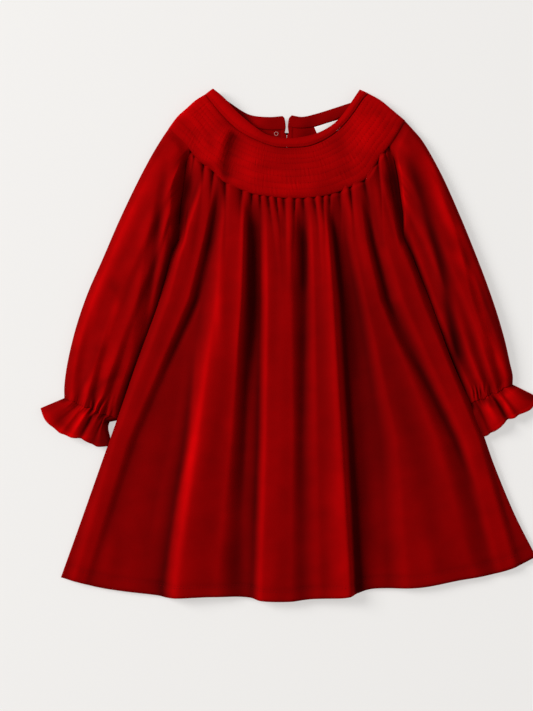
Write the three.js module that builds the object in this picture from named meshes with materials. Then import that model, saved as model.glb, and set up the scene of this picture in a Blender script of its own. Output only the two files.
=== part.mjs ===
import * as THREE from "three";

// A toddler's party dress in red velvet, laid flat on its back with the front up.
// Millimetres, +Z up, neck towards +Y. The origin is on the surface, under the middle of the dress.
// Each piece of cloth is a wall of one even thickness. The back panels lie on the surface. The front
// panels lie over them, roll down at their sides and meet the back panels under the roll.

// Driving dimensions
const CLOTH = 1.3; // one layer of velvet
const BAND_CLOTH = 2.4; // the neck band, folded double
const BACK_BAND_CLOTH = 2; // the same band pressed flat at the back
const SEAM = 0.3; // gap between pieces that are sewn together
const MIDDLE = [-0.6, -0.5]; // middle of the outline in the drawing's own coordinates

const BODICE_HEIGHT = 12; // top of the front yoke above the surface
const BAND_SEAM_HEIGHT = 10.8; // the seam between the neck band and the yoke
const SEAM_HEIGHT = 10; // the yoke's lower seam
const ARMHOLE_HEIGHT = 7.5; // the front skirt's edge at the armholes
const YOKE_FILL = 0.8; // how much of its full height the yoke's middle takes up
const BAND_CROWN = 1.1; // how far the neck band's middle stands above its edges
const BAND_LIFT = 0.3;
const YOKE_ROWS = 9; // stitched rows that follow the neckline
const YOKE_ROW_RELIEF = 0.5;
const FRONT_GATHERS = 17;
const GATHER_RELIEF = 1.2;
const GATHER_REACH = 0.16; // how far down the skirt the gathers run, as a share of its length
const SLEEVE_GATHERS = 9.6; // waves along the whole armhole
const SLEEVE_GATHER_RELIEF = 0.7;
const WRIST_GATHERS = 7;
const WRIST_GATHER_RELIEF = 1.1;
const RUFFLE_WAVES = 7;
const RUFFLE_RELIEF = 2.2;
const RUFFLE_FLARE = 1.4; // how far its middle puffs up between the gathers and the edge
const RUFFLE_OUTER_HEIGHT = 6; // its two sides, at the edge
const RUFFLE_INNER_HEIGHT = 5;

const BUTTON_RADIUS = 4.5;
const BUTTON_THICKNESS = 1.6;
const BUTTON_AT = [-14, 232.5];
const SHANK_RADIUS = 1;
const LOOP_THICKNESS = 1;
const LABEL_THICKNESS = 1;

// Outline curves, each through a few points of the laid dress
const NECK_EDGE = [
  [-84, 282], [-72, 272], [-59, 258], [-48, 248], [-38, 240], [-24, 231], [-3, 227],
  [13, 228], [32, 233], [48, 242], [59, 253], [68, 266], [78, 281],
];
const BAND_SEAM = [
  [-92, 276], [-88, 270], [-74, 253], [-56, 236], [-36, 225], [-16, 218], [3, 217],
  [23, 219], [43, 228], [59, 241], [72, 257], [80, 269], [87, 277],
];
const YOKE_SEAM = [
  [-133, 238], [-113, 219], [-100, 203], [-83, 190], [-73, 180], [-54, 171], [-40, 166],
  [1, 161], [40, 164], [64, 172], [86, 184], [100, 206], [114, 224], [128, 247],
];
const SHOULDER_LEFT = [[-92, 276], [-103, 269], [-113, 260], [-123, 251], [-133, 238]];
const SHOULDER_RIGHT = [[87, 277], [101, 269], [112, 260], [123, 251], [128, 247]];
const HEM = [
  [-252, -257], [-210, -268], [-185, -272], [-144, -277], [-134, -279], [-84, -278], [-43, -279],
  [-32, -282], [1, -283], [26, -280], [64, -278], [75, -275], [90, -270], [145, -268], [188, -260],
  [222, -254], [249, -246], [273, -234],
];
const SIDE_LEFT = [
  [-116, 175], [-119, 152], [-122, 126], [-130, 102], [-143, 49], [-167, -17], [-188, -78],
  [-208, -134], [-230, -196], [-252, -257],
];
const SIDE_RIGHT = [
  [119, 188], [123, 159], [128, 130], [136, 98], [155, 49], [179, -17], [210, -87],
  [227, -134], [250, -189], [273, -234],
];
// Where the armholes leave the yoke seam, as shares of its length
const ARMHOLE_LEFT = 0.095;
const ARMHOLE_RIGHT = 0.905;

// How a front panel rolls down at its side: distance in from the outline, share of the edge's height.
const SIDE_ROLL = [
  { inset: 16, rise: 0 },
  { inset: 11, rise: 0 },
  { inset: 5.5, rise: 0.25 },
  { inset: 1.5, rise: 0.48 },
  { inset: 0, rise: 0.66 },
  { inset: 1.2, rise: 0.86 },
  { inset: 5, rise: 0.98 },
];
const ROLL_INSET = 10; // where a side roll has reached the panel's own height
const FLANGE = SIDE_ROLL[0].inset;
const OPEN_STEP = 1.6; // between the first columns where a panel's side is open

// Creases of the front skirt, from its left side to its right. Each runs from the yoke to the hem and
// is a ridge or a valley: x is where it lies, z how high the cloth is there, both at CREASE_LEVELS.
const CREASE_LEVELS = [181, 115, 49, -105, -270];
const SKIRT_CREASES = [
  { name: "left foot", x: [-99, -123, -143, -204, -252], z: [6.5, 6.5, 9, 8, 4] },
  { name: "left edge ridge", x: [-93, -114, -131, -189, -239], z: [10, 13, 14, 12.5, 7] },
  { name: "left edge top", x: [-81, -95, -112, -178, -230], z: [11, 14, 15, 12.5, 6.5] },
  { name: "left valley", x: [-74, -87, -102, -167, -221], z: [8.5, 8.5, 9, 9, 5] },
  { name: "low panel", x: [-72, -83, -97, -117, -142], z: [9, 9, 9.5, 9, 4.6] },
  { name: "wide fold, left", x: [-66, -73, -78, -99, -122], z: [11, 15, 17, 18, 14] },
  { name: "wide fold, right", x: [-51, -51, -53, -65, -82], z: [11, 17, 18.5, 17, 11] },
  { name: "wide valley, left", x: [-43, -43, -43, -48, -54], z: [9, 8.5, 8.5, 8.5, 6] },
  { name: "wide valley, right", x: [-33, -33, -33, -36, -42], z: [9, 8.5, 8, 9, 7] },
  { name: "centre fold, left", x: [-25, -24, -23, -25, -30], z: [11, 14, 15.5, 17, 13] },
  { name: "centre fold, right", x: [-4, -1, 1, 3, 1], z: [11, 15, 16, 16.5, 12] },
  { name: "centre valley", x: [15, 16, 17, 15, 15], z: [9, 8.5, 9, 13, 10] },
  { name: "long fold, left", x: [24, 26, 29, 32, 36], z: [11, 14, 15, 17, 13] },
  { name: "long fold, right", x: [37, 43, 47, 56, 67], z: [11, 17, 20, 22, 17] },
  { name: "long valley, left", x: [45, 52, 59, 69, 76], z: [9, 8.5, 8.5, 8, 4] },
  { name: "long valley, right", x: [55, 62, 74, 100, 109], z: [9.5, 9, 9.5, 8.5, 4.5] },
  { name: "broad fold, left", x: [63, 72, 85, 120, 133], z: [11, 14, 15, 14.5, 9] },
  { name: "broad fold, right", x: [75, 84, 98, 160, 207], z: [11, 14, 15.5, 14.5, 7.5] },
  { name: "right valley", x: [83, 92, 110, 183, 229], z: [9, 9, 9, 9, 5] },
  { name: "right edge top", x: [95, 107, 126, 195, 241], z: [11, 14, 15, 12.5, 6.5] },
  { name: "right edge ridge", x: [105, 122, 144, 208, 254], z: [10, 13, 14, 12, 7] },
  { name: "right foot", x: [112, 131, 155, 216, 265], z: [7, 7, 9, 8, 4] },
];

// Creases along a sleeve, from its outer side to its inner one: across is the share of the sleeve's
// width, z the height of the cloth, both at SLEEVE_LEVELS along it.
const SLEEVE_LEVELS = [0, 0.35, 0.7, 1];
const SLEEVE_CREASES = [
  { name: "outer side", across: [0, 0, 0, 0], z: [9, 11, 12, 7] },
  { name: "outer top", across: [0.16, 0.16, 0.14, 0.16], z: [11, 14, 15, 10] },
  { name: "outer dip", across: [0.27, 0.26, 0.25, 0.26], z: [10, 13.5, 13.5, 9.2] },
  { name: "middle ridge", across: [0.4, 0.42, 0.42, 0.38], z: [12, 16.5, 17.5, 11.5] },
  { name: "middle dip", across: [0.5, 0.53, 0.53, 0.49], z: [10, 13, 12.5, 9.2] },
  { name: "inner ridge", across: [0.62, 0.66, 0.66, 0.6], z: [12, 16, 16, 11.5] },
  { name: "inner dip", across: [0.72, 0.76, 0.77, 0.71], z: [9.5, 11.5, 11, 9] },
  { name: "edge ridge", across: [0.82, 0.86, 0.86, 0.82], z: [10.5, 13, 12, 9] },
  { name: "inner side", across: [1, 1, 1, 1], z: [6, 4.5, 4.5, 5.5] },
];

// Stations along each sleeve: outer is a point of its outer outline, inner one of its inner outline.
const SLEEVE_LEFT = [
  { outer: [-133, 238], inner: [-124, 117] },
  { outer: [-139, 229], inner: [-128, 109] },
  { outer: [-150, 211], inner: [-131, 99] },
  { outer: [-166, 181], inner: [-132, 82] },
  { outer: [-187, 137], inner: [-140, 52] },
  { outer: [-206, 93], inner: [-149, 25] },
  { outer: [-221, 59], inner: [-157, 2] },
  { outer: [-233, 25], inner: [-164, -18] },
  { outer: [-241, -5], inner: [-171, -37] },
  { outer: [-246, -30], inner: [-176, -54] },
  { outer: [-248, -48], inner: [-181, -68] },
  { outer: [-248, -59], inner: [-187, -83] },
];
const SLEEVE_RIGHT = [
  { outer: [128, 247], inner: [131, 117] },
  { outer: [136, 238], inner: [133, 109] },
  { outer: [147, 225], inner: [136, 100] },
  { outer: [167, 190], inner: [141, 83] },
  { outer: [187, 146], inner: [151, 55] },
  { outer: [205, 102], inner: [160, 28] },
  { outer: [218, 68], inner: [169, 6] },
  { outer: [229, 36], inner: [176, -13] },
  { outer: [238, 5], inner: [182, -29] },
  { outer: [244, -21], inner: [188, -43] },
  { outer: [247, -34], inner: [193, -54] },
  { outer: [247, -44], inner: [198, -66] },
];
// How much of the armhole's bend the first stations keep
const ARMHOLE_BEND = [1, 0.82, 0.6, 0.34, 0.12];

// Ends of the wrist ruffles, from the outer side to the inner one
const RUFFLE_LEFT = [
  [-274, -70], [-267, -84], [-254, -96], [-237, -102], [-226, -105], [-212, -112], [-197, -112],
];
const RUFFLE_RIGHT = [
  [273, -57], [267, -69], [256, -76], [246, -81], [237, -86], [224, -97], [211, -103],
];

// How a tube's sides close: height is a share of the side's own height.
const TUBE_ROLL = [
  { inset: 9, height: 0 },
  { inset: 4, height: 0.06 },
  { inset: 0.9, height: 0.3 },
  { inset: 0, height: 0.52 },
  { inset: 0.9, height: 0.76 },
  { inset: 4, height: 0.98 },
];

// The slit at the centre back: y, and half its width there
const SLIT = [
  { y: 253, half: 5.6 },
  { y: 250, half: 2.6 },
  { y: 246, half: 1.7 },
  { y: 240, half: 1.1 },
  { y: 236.5, half: 1.5 },
  { y: 233.5, half: 2.1 },
  { y: 230, half: 0.15 },
  { y: 180, half: 0.15 },
];
const SLIT_X = -2.4;
const BACK_NECK_LEFT = [[-44, 254], [-24, 251], [-8, 252]];
const BACK_NECK_RIGHT = [[30, 255], [14, 251.5], [3.2, 253]];
const BACK_BAND_LEFT = [[-62, 250], [-44, 241], [-24, 237], [-3.5, 237]];
const BACK_BAND_RIGHT = [[58, 252], [36, 243], [14, 239], [-1.3, 240]];
const BACK_SEAM_Y = 186; // the back yoke's lower seam at the slit
// Its points between the armhole's corner and the slit, as shares of the way out and of the way down
const BACK_SEAM_BEND = [{ out: 0.76, down: 0.6 }, { out: 0.4, down: 0.92 }];
const BACK_HEM_INSET = 3; // how far the back's hem stays in under the front's
const BACK_HEM_SPAN = [0.06, 0.94]; // the stretch of the front's hem that it follows
const BACK_SIDE_END = 0.985; // how far down its sides run
const LABEL = [[28, 240], [60, 250], [56.5, 237], [33, 229]];

// Materials
const velvet = new THREE.MeshStandardMaterial({ color: 0xa30008, roughness: 0.85, metalness: 0 });
const plainTape = new THREE.MeshStandardMaterial({ color: 0xe9e7e4, roughness: 0.7, metalness: 0 });
const redPlastic = new THREE.MeshStandardMaterial({ color: 0x8d0a0e, roughness: 0.35, metalness: 0 });

const dress = new THREE.Group();

function addPiece(name, geometry, material) {
  const mesh = new THREE.Mesh(geometry, material);
  mesh.name = name;
  mesh.position.set(-MIDDLE[0], -MIDDLE[1], 0);
  dress.add(mesh);
}

// Small helpers
const { clamp, lerp, smoothstep } = THREE.MathUtils;

function range(count) {
  return [...Array(count).keys()];
}

function curveThrough(points) {
  const vectors = points.map(([x, y]) => new THREE.Vector3(x, y, 0));
  const curve = new THREE.CatmullRomCurve3(vectors, false, "centripetal");
  curve.arcLengthDivisions = 600;
  return {
    length: curve.getLength(),
    at: (share) => curve.getPointAt(clamp(share, 0, 1)),
  };
}

function partOf(curve, start, end) {
  return {
    length: curve.length * Math.abs(end - start),
    at: (share) => curve.at(lerp(start, end, share)),
  };
}

function joined(first, second) {
  const length = first.length + second.length;
  const turn = first.length / length;
  return {
    length,
    at: (share) => (share < turn ? first.at(share / turn) : second.at((share - turn) / (1 - turn))),
  };
}

function lineBetween(start, end) {
  return { length: start.distanceTo(end), at: (share) => start.clone().lerp(end, share) };
}

// A sheet stretched between four edges: across runs from left to right, down from top to bottom.
function sheetBetween(top, bottom, left, right) {
  const corners = [top.at(0), top.at(1), bottom.at(0), bottom.at(1)];
  return (across, down) => {
    const point = top.at(across).multiplyScalar(1 - down);
    point.addScaledVector(bottom.at(across), down);
    point.addScaledVector(left.at(down), 1 - across);
    point.addScaledVector(right.at(down), across);
    point.addScaledVector(corners[0], -(1 - across) * (1 - down));
    point.addScaledVector(corners[1], -across * (1 - down));
    point.addScaledVector(corners[2], -(1 - across) * down);
    return point.addScaledVector(corners[3], -across * down);
  };
}

// A value read from a list that goes with the levels, with straight lines between them.
function atLevel(levels, values, level) {
  const rising = levels[levels.length - 1] > levels[0];
  const side = rising ? 1 : -1;
  if ((level - levels[0]) * side <= 0) return values[0];
  for (let i = 1; i < levels.length; i++) {
    if ((level - levels[i]) * side <= 0) {
      return lerp(values[i - 1], values[i], (level - levels[i - 1]) / (levels[i] - levels[i - 1]));
    }
  }
  return values[values.length - 1];
}

// The height between creases: each is { at, z }, in order, and the cloth swings softly from one to the next.
function heightBetween(creases, place) {
  if (place <= creases[0].at) return creases[0].z;
  for (let i = 1; i < creases.length; i++) {
    const [before, after] = [creases[i - 1], creases[i]];
    if (place <= after.at) {
      return lerp(before.z, after.z, smoothstep(place, before.at, after.at));
    }
  }
  return creases[creases.length - 1].z;
}

// A direction in the plan at right angles to the edge that runs along the given one.
function squareTo(along) {
  return new THREE.Vector3(-along.y, along.x, 0).normalize();
}

// The wall under a grid of outer points. Rows run down, columns across. A cut is the plan direction that
// an edge's cut faces: edge points move back by half a seam, and the cut stays square through the wall.
function wallUnder(outer, thickness, cuts = {}, closed = false) {
  const rows = outer.length;
  const columns = outer[0].length;
  const wrap = (column) => (column + columns) % columns;
  const near = (column) => clamp(column, 0, columns - 1);
  const beside = closed ? wrap : near;
  const cutOf = (row, column) => {
    const found = [];
    if (row === 0 && cuts.top) found.push(cuts.top[column]);
    if (row === rows - 1 && cuts.bottom) found.push(cuts.bottom[column]);
    if (!closed && column === 0 && cuts.left) found.push(cuts.left[row]);
    if (!closed && column === columns - 1 && cuts.right) found.push(cuts.right[row]);
    return found.filter(Boolean);
  };
  const shifted = outer.map((line, row) =>
    line.map((point, column) => {
      const moved = point.clone();
      cutOf(row, column).forEach((cut) => moved.addScaledVector(cut, -SEAM / 2));
      return moved;
    }),
  );
  const inner = shifted.map((line, row) =>
    line.map((point, column) => {
      const along = shifted[row][beside(column + 1)].clone().sub(shifted[row][beside(column - 1)]);
      const down = shifted[Math.min(row + 1, rows - 1)][column].clone();
      down.sub(shifted[Math.max(row - 1, 0)][column]);
      const inward = along.cross(down).normalize();
      cutOf(row, column).forEach((cut) => inward.addScaledVector(cut, -inward.dot(cut)));
      return point.clone().addScaledVector(inward.normalize(), thickness);
    }),
  );
  return stitched(shifted, inner, closed);
}

// One closed surface from an outer and an inner grid of points.
function stitched(outer, inner, closed) {
  const rows = outer.length;
  const columns = outer[0].length;
  const positions = [...outer.flat(), ...inner.flat()].flatMap((point) => point.toArray());
  const index = [];
  const outerAt = (row, column) => row * columns + (column % columns);
  const innerAt = (row, column) => rows * columns + outerAt(row, column);
  const face = (a, b, c, d) => index.push(a, b, c, a, c, d);
  const spans = closed ? columns : columns - 1;
  for (const row of range(rows - 1)) {
    for (const column of range(spans)) {
      const o = [outerAt(row, column), outerAt(row, column + 1)];
      o.push(outerAt(row + 1, column + 1), outerAt(row + 1, column));
      face(o[3], o[2], o[1], o[0]);
      const i = o.map((vertex) => vertex + rows * columns);
      face(i[0], i[1], i[2], i[3]);
    }
  }
  for (const column of range(spans)) {
    face(outerAt(0, column), outerAt(0, column + 1), innerAt(0, column + 1), innerAt(0, column));
    const last = rows - 1;
    face(
      innerAt(last, column),
      innerAt(last, column + 1),
      outerAt(last, column + 1),
      outerAt(last, column),
    );
  }
  if (!closed) {
    const end = columns - 1;
    for (const row of range(rows - 1)) {
      face(innerAt(row, 0), innerAt(row + 1, 0), outerAt(row + 1, 0), outerAt(row, 0));
      face(outerAt(row, end), outerAt(row + 1, end), innerAt(row + 1, end), innerAt(row, end));
    }
  }
  const geometry = new THREE.BufferGeometry();
  geometry.setAttribute("position", new THREE.Float32BufferAttribute(positions, 3));
  geometry.setIndex(index);
  return geometry;
}

// Front panels
// A panel laid over the back: its rows cross the dress, and each end rolls down to the surface unless
// it is open there, as at an armhole.
function frontPanel({ sheet, rowLength, rows, middleColumns, heightAt, isOpen, thickness, cutEdges }) {
  const columnsOf = (down) => {
    const length = rowLength(down);
    const open = isOpen(down);
    const rollEnd = (side) => {
      const place = (inset) => (side < 0 ? inset / length : 1 - inset / length);
      const edgeHeight = heightAt(place(ROLL_INSET), down);
      return SIDE_ROLL.map(({ inset, rise }, i) => {
        if (open) return { across: place(i * OPEN_STEP), z: heightAt(place(i * OPEN_STEP), down) };
        return { across: place(inset), z: rise * edgeHeight };
      });
    };
    const middle = range(middleColumns).map((i) => {
      const start = (open ? SIDE_ROLL.length * OPEN_STEP : ROLL_INSET) / length;
      const across = lerp(start, 1 - start, i / (middleColumns - 1));
      return { across, z: heightAt(across, down) };
    });
    return [...rollEnd(-1), ...middle, ...rollEnd(1).reverse()];
  };
  const step = 1e-3;
  const places = rows.map(columnsOf);
  const grid = rows.map((down, row) =>
    places[row].map(({ across, z }) => sheet(across, down).setZ(z)),
  );
  const acrossEdge = (row) =>
    places[row].map(({ across }) => {
      const from = clamp(across, 0, 1 - step);
      return squareTo(sheet(from + step, rows[row]).sub(sheet(from, rows[row])));
    });
  const downEdge = (column, outward) =>
    grid.map((_, row) => {
      if (!isOpen(rows[row])) return null;
      const across = outward < 0 ? 0 : 1;
      const from = Math.min(rows[row], 1 - step);
      const along = sheet(across, from + step).sub(sheet(across, from));
      return squareTo(along).multiplyScalar(outward);
    });
  const cuts = {};
  if (cutEdges.top) cuts.top = acrossEdge(0);
  if (cutEdges.bottom) cuts.bottom = acrossEdge(rows.length - 1).map((cut) => cut.negate());
  if (cutEdges.sides) cuts.left = downEdge(0, -1);
  if (cutEdges.sides) cuts.right = downEdge(grid[0].length - 1, 1);
  return wallUnder(grid, thickness, cuts);
}

const neckEdge = curveThrough(NECK_EDGE);
const bandSeam = curveThrough(BAND_SEAM);
const yokeSeam = curveThrough(YOKE_SEAM);
const hem = curveThrough(HEM);
const shoulderLeft = curveThrough(SHOULDER_LEFT);
const shoulderRight = curveThrough(SHOULDER_RIGHT);
const skirtSeam = partOf(yokeSeam, ARMHOLE_LEFT, ARMHOLE_RIGHT);
const cornerLeft = skirtSeam.at(0);
const cornerRight = skirtSeam.at(1);
const sideLeft = curveThrough([[cornerLeft.x, cornerLeft.y], ...SIDE_LEFT]);
const sideRight = curveThrough([[cornerRight.x, cornerRight.y], ...SIDE_RIGHT]);
const UNDERARM = 0.2; // share of the side's length where the armhole ends

// The length of a panel's row at a share down it
const yokeRow = (down) => lerp(bandSeam.length, yokeSeam.length, down);
const bandRow = (down) => lerp(neckEdge.length, bandSeam.length, down);
const skirtRow = (down) => lerp(skirtSeam.length, hem.length, down);

const yokeSheet = sheetBetween(bandSeam, yokeSeam, shoulderLeft, shoulderRight);
const skirtSheet = sheetBetween(skirtSeam, hem, sideLeft, sideRight);
const bandSheet = sheetBetween(
  neckEdge,
  bandSeam,
  lineBetween(neckEdge.at(0), bandSeam.at(0)),
  lineBetween(neckEdge.at(1), bandSeam.at(1)),
);

// The dent that crosses the yoke's left side, from the band to the seam
const DENT = { acrossTop: 0.3, acrossBottom: 0.315, rise: 2, fall: 0.05, reach: 0.16 };

function dentHeight(across, down) {
  const middle = lerp(DENT.acrossTop, DENT.acrossBottom, down);
  const rising = smoothstep(across, middle - DENT.reach, middle - DENT.fall / 2);
  const falling = smoothstep(across, middle - DENT.fall / 2, middle + DENT.fall / 2);
  return DENT.rise * (rising - 1.4 * falling + 0.4 * smoothstep(across, middle, middle + DENT.reach));
}

function yokeHeight(across, down) {
  const dome = Math.sin(Math.PI * clamp(down, 0, 1));
  const edge = lerp(BAND_SEAM_HEIGHT, SEAM_HEIGHT, down);
  const full = BODICE_HEIGHT + 1 - edge;
  return edge + full * dome * YOKE_FILL + dentHeight(across, down) * dome;
}

function buildFrontYoke() {
  // Two lines a row: the stitched valley and the ridge after it
  const valley = (i) => (i + 0.5) / YOKE_ROWS;
  const lines = range(YOKE_ROWS).flatMap((i) => [
    { down: valley(i) - 0.5 / YOKE_ROWS, relief: i === 0 ? 0 : YOKE_ROW_RELIEF / 2 },
    { down: valley(i), relief: -YOKE_ROW_RELIEF / 2 },
  ]);
  lines.push({ down: 1, relief: 0 });
  const reliefAt = (down) => lines.find((line) => Math.abs(line.down - down) < 1e-6).relief;
  return frontPanel({
    sheet: yokeSheet,
    rowLength: yokeRow,
    rows: lines.map((line) => line.down),
    middleColumns: 27,
    heightAt: (across, down) => yokeHeight(across, down) + reliefAt(down),
    isOpen: () => false,
    thickness: CLOTH,
    cutEdges: { top: true, bottom: true },
  });
}

function gatherWave(across) {
  const uneven = 0.2 * Math.sin(2 * Math.PI * 2.3 * across) + 0.12 * Math.sin(2 * Math.PI * 5.1 * across);
  return Math.cos(2 * Math.PI * (FRONT_GATHERS * across + uneven));
}

// Shares of a row's length: where the gathers reach their full height, and where the cloth has risen from
// the armhole
const GATHER_MARGIN = 1 / 24;
const ARMHOLE_SLOPE = 0.05;

function skirtHeight(across, down) {
  const point = skirtSheet(across, down);
  const creases = SKIRT_CREASES.map(({ x, z }) => ({
    at: atLevel(CREASE_LEVELS, x, point.y),
    z: atLevel(CREASE_LEVELS, z, point.y),
  }));
  const fold = heightBetween(creases, point.x);
  const atSeam = smoothstep(down, 0, GATHER_REACH);
  const gathers = GATHER_RELIEF * gatherWave(across) * (1 - smoothstep(down, 0, GATHER_REACH * 1.6));
  const fromSide = Math.min(across, 1 - across);
  const inside = lerp(SEAM_HEIGHT, fold, atSeam) + gathers * Math.min(1, fromSide / GATHER_MARGIN);
  if (down >= UNDERARM) return inside;
  return lerp(ARMHOLE_HEIGHT, inside, smoothstep(fromSide, 0, ARMHOLE_SLOPE));
}

// Rows of the skirt from the yoke to the hem, as shares of its length, closer where it is gathered
const SKIRT_ROWS = [
  0, 0.015, 0.035, 0.06, 0.095, 0.135, 0.18, 0.23, 0.29, 0.36, 0.44, 0.52, 0.61, 0.7, 0.79, 0.87, 0.94, 1,
];

function buildFrontSkirt() {
  return frontPanel({
    sheet: skirtSheet,
    rowLength: skirtRow,
    rows: SKIRT_ROWS,
    middleColumns: 55,
    heightAt: skirtHeight,
    isOpen: (down) => down < UNDERARM,
    thickness: CLOTH,
    cutEdges: { top: true, sides: true },
  });
}

function buildFrontBand() {
  const crown = (down) => BAND_CROWN * Math.sin(Math.PI * down) + BAND_LIFT;
  return frontPanel({
    sheet: bandSheet,
    rowLength: bandRow,
    rows: [0, 0.12, 0.35, 0.65, 0.9, 1],
    middleColumns: 25,
    heightAt: (_, down) => BAND_SEAM_HEIGHT + crown(down),
    isOpen: () => false,
    thickness: BAND_CLOTH,
    cutEdges: { bottom: true },
  });
}

// Back panels, flat on the surface
function slitAt(y, side) {
  const halves = SLIT.map((row) => row.half);
  const half = atLevel(SLIT.map((row) => row.y), halves, y);
  return new THREE.Vector3(SLIT_X + side * half, y, 0);
}

// The button stands between the yoke and the surface, and lifts the cloth round it.
const LIFT = BUTTON_THICKNESS + LOOP_THICKNESS + 3 * SEAM;
const LIFT_FLAT = 20;
const LIFT_REACH = 42;

function liftAt(point) {
  const away = Math.hypot(point.x - BUTTON_AT[0], point.y - BUTTON_AT[1]);
  return LIFT * (1 - smoothstep(away, LIFT_FLAT, LIFT_REACH));
}

function backPanel(sheet, rows, columns, thickness, cutEdges) {
  const grid = range(rows).map((row) =>
    range(columns).map((column) => {
      const point = sheet(column / (columns - 1), row / (rows - 1));
      return point.setZ(thickness + liftAt(point));
    }),
  );
  const edge = (line, sign) =>
    line.map((_, i) => {
      const before = line[Math.max(i - 1, 0)];
      const after = line[Math.min(i + 1, columns - 1)];
      return squareTo(after.clone().sub(before).setZ(0)).multiplyScalar(sign);
    });
  const cuts = {};
  if (cutEdges.top) cuts.top = edge(grid[0], 1);
  if (cutEdges.bottom) cuts.bottom = edge(grid[rows - 1], -1);
  return wallUnder(grid, thickness, cuts);
}

// Where a front panel's roll ends on the surface, in from its side, with room for the seam
function rollEnd(sheet, rowLength, side) {
  return (down) => {
    const inset = (FLANGE + SEAM) / rowLength(down);
    return sheet(side < 0 ? inset : 1 - inset, down);
  };
}

function measured(at) {
  const steps = 60;
  const points = range(steps + 1).map((i) => at(i / steps));
  const length = points.slice(1).reduce((sum, point, i) => sum + point.distanceTo(points[i]), 0);
  return { at, length };
}

function backSide(side) {
  const yokeEnd = measured(rollEnd(yokeSheet, yokeRow, side));
  const bandEnd = measured(rollEnd(bandSheet, bandRow, side));
  const neck = side < 0 ? BACK_NECK_LEFT : BACK_NECK_RIGHT;
  const band = side < 0 ? BACK_BAND_LEFT : BACK_BAND_RIGHT;
  const top = curveThrough([[bandEnd.at(0).x, bandEnd.at(0).y], ...neck]);
  const under = curveThrough([[bandEnd.at(1).x, bandEnd.at(1).y], ...band]);
  const flangeShare = (FLANGE + SEAM) / yokeSeam.length;
  const fromSide = (share) => (side < 0 ? share : 1 - share);
  const sleeveSeam = partOf(yokeSeam, fromSide(flangeShare), fromSide(ARMHOLE_LEFT));
  const corner = sleeveSeam.at(1);
  const skirtSeamBack = curveThrough([
    [corner.x, corner.y],
    ...BACK_SEAM_BEND.map(({ out, down }) => [corner.x * out, lerp(corner.y, BACK_SEAM_Y, down)]),
    [SLIT_X + side * SLIT[SLIT.length - 1].half, BACK_SEAM_Y],
  ]);
  const seam = joined(sleeveSeam, skirtSeamBack);
  const slitBetween = (from, to) => measured((share) => slitAt(lerp(from, to, share), side));
  return { yokeEnd, bandEnd, top, under, seam, skirtSeamBack, slitBetween };
}

function orient(side, sheet) {
  return side < 0 ? sheet : (across, down) => sheet(1 - across, down);
}

function buildBackBand(side) {
  const parts = backSide(side);
  const slit = parts.slitBetween(parts.top.at(1).y, parts.under.at(1).y);
  const sheet = sheetBetween(parts.top, parts.under, parts.bandEnd, slit);
  return backPanel(orient(side, sheet), 4, 11, BACK_BAND_CLOTH, { bottom: true });
}

function buildBackYoke(side) {
  const parts = backSide(side);
  const slit = parts.slitBetween(parts.under.at(1).y, BACK_SEAM_Y);
  const start = parts.bandEnd.at(1);
  const edge = measured((share) => {
    const along = parts.yokeEnd.at(share);
    return along.addScaledVector(start.clone().sub(parts.yokeEnd.at(0)), 1 - share);
  });
  const sheet = sheetBetween(parts.under, parts.seam, edge, slit);
  return backPanel(orient(side, sheet), 7, 15, CLOTH, { top: true, bottom: true });
}

function extruded(outline, thickness, level) {
  const shape = new THREE.Shape(outline.map((point) => new THREE.Vector2(point.x, point.y)));
  const geometry = new THREE.ExtrudeGeometry(shape, { depth: thickness, bevelEnabled: false });
  return geometry.translate(0, 0, level);
}

function buildBackSkirt() {
  const sideOf = (side) => {
    const downs = [...SKIRT_ROWS.slice(1, -1), BACK_SIDE_END];
    return downs.map((down) => {
      const open = down < UNDERARM;
      const inset = (open ? SEAM : FLANGE + SEAM) / skirtRow(down);
      return skirtSheet(side < 0 ? inset : 1 - inset, down);
    });
  };
  const left = sideOf(-1);
  const right = sideOf(1);
  const seamOf = (side) => backSide(side).skirtSeamBack;
  const seamPoints = 12;
  const seamLeft = range(seamPoints + 1).map((i) => seamOf(-1).at(i / seamPoints));
  const seamRight = range(seamPoints + 1).map((i) => seamOf(1).at(1 - i / seamPoints));
  const across = 14;
  const hemLine = range(across - 1).map((i) => {
    const share = lerp(...BACK_HEM_SPAN, i / (across - 2));
    return hem.at(share).add(new THREE.Vector3(0, BACK_HEM_INSET, 0));
  });
  const nudge = new THREE.Vector3(0, -SEAM, 0);
  const outline = [
    ...left.reverse(),
    ...seamLeft.slice(1).map((point) => point.add(nudge)),
    ...seamRight.slice(1, -1).map((point) => point.add(nudge)),
    ...right,
    ...hemLine.reverse(),
  ];
  return extruded(outline.reverse(), CLOTH, 0);
}

// Sleeves and wrist ruffles: flattened tubes, open at both ends, their undersides flat on the surface
// One ring of a tube, from its outer side over the top to its inner side and back underneath.
function tubeRing(path, { outerHeight, innerHeight, topAt, underCount, topCount }) {
  const share = (inset) => Math.min(inset / path.length, 0.4);
  const roll = (height, fromOuter) =>
    TUBE_ROLL.map((row) => ({
      across: fromOuter ? share(row.inset) : 1 - share(row.inset),
      z: row.height * height,
    }));
  const first = share(TUBE_ROLL[0].inset);
  const top = range(topCount).map((i) => {
    const across = lerp(first, 1 - first, i / (topCount - 1));
    return { across, z: topAt(across) };
  });
  const under = range(underCount).map((i) => {
    const across = lerp(1 - first, first, (i + 1) / (underCount + 1));
    return { across, z: 0 };
  });
  const ring = [...roll(outerHeight, true), ...top, ...roll(innerHeight, false).reverse(), ...under];
  return ring.map(({ across, z }) => path.at(across).setZ(z));
}

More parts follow.
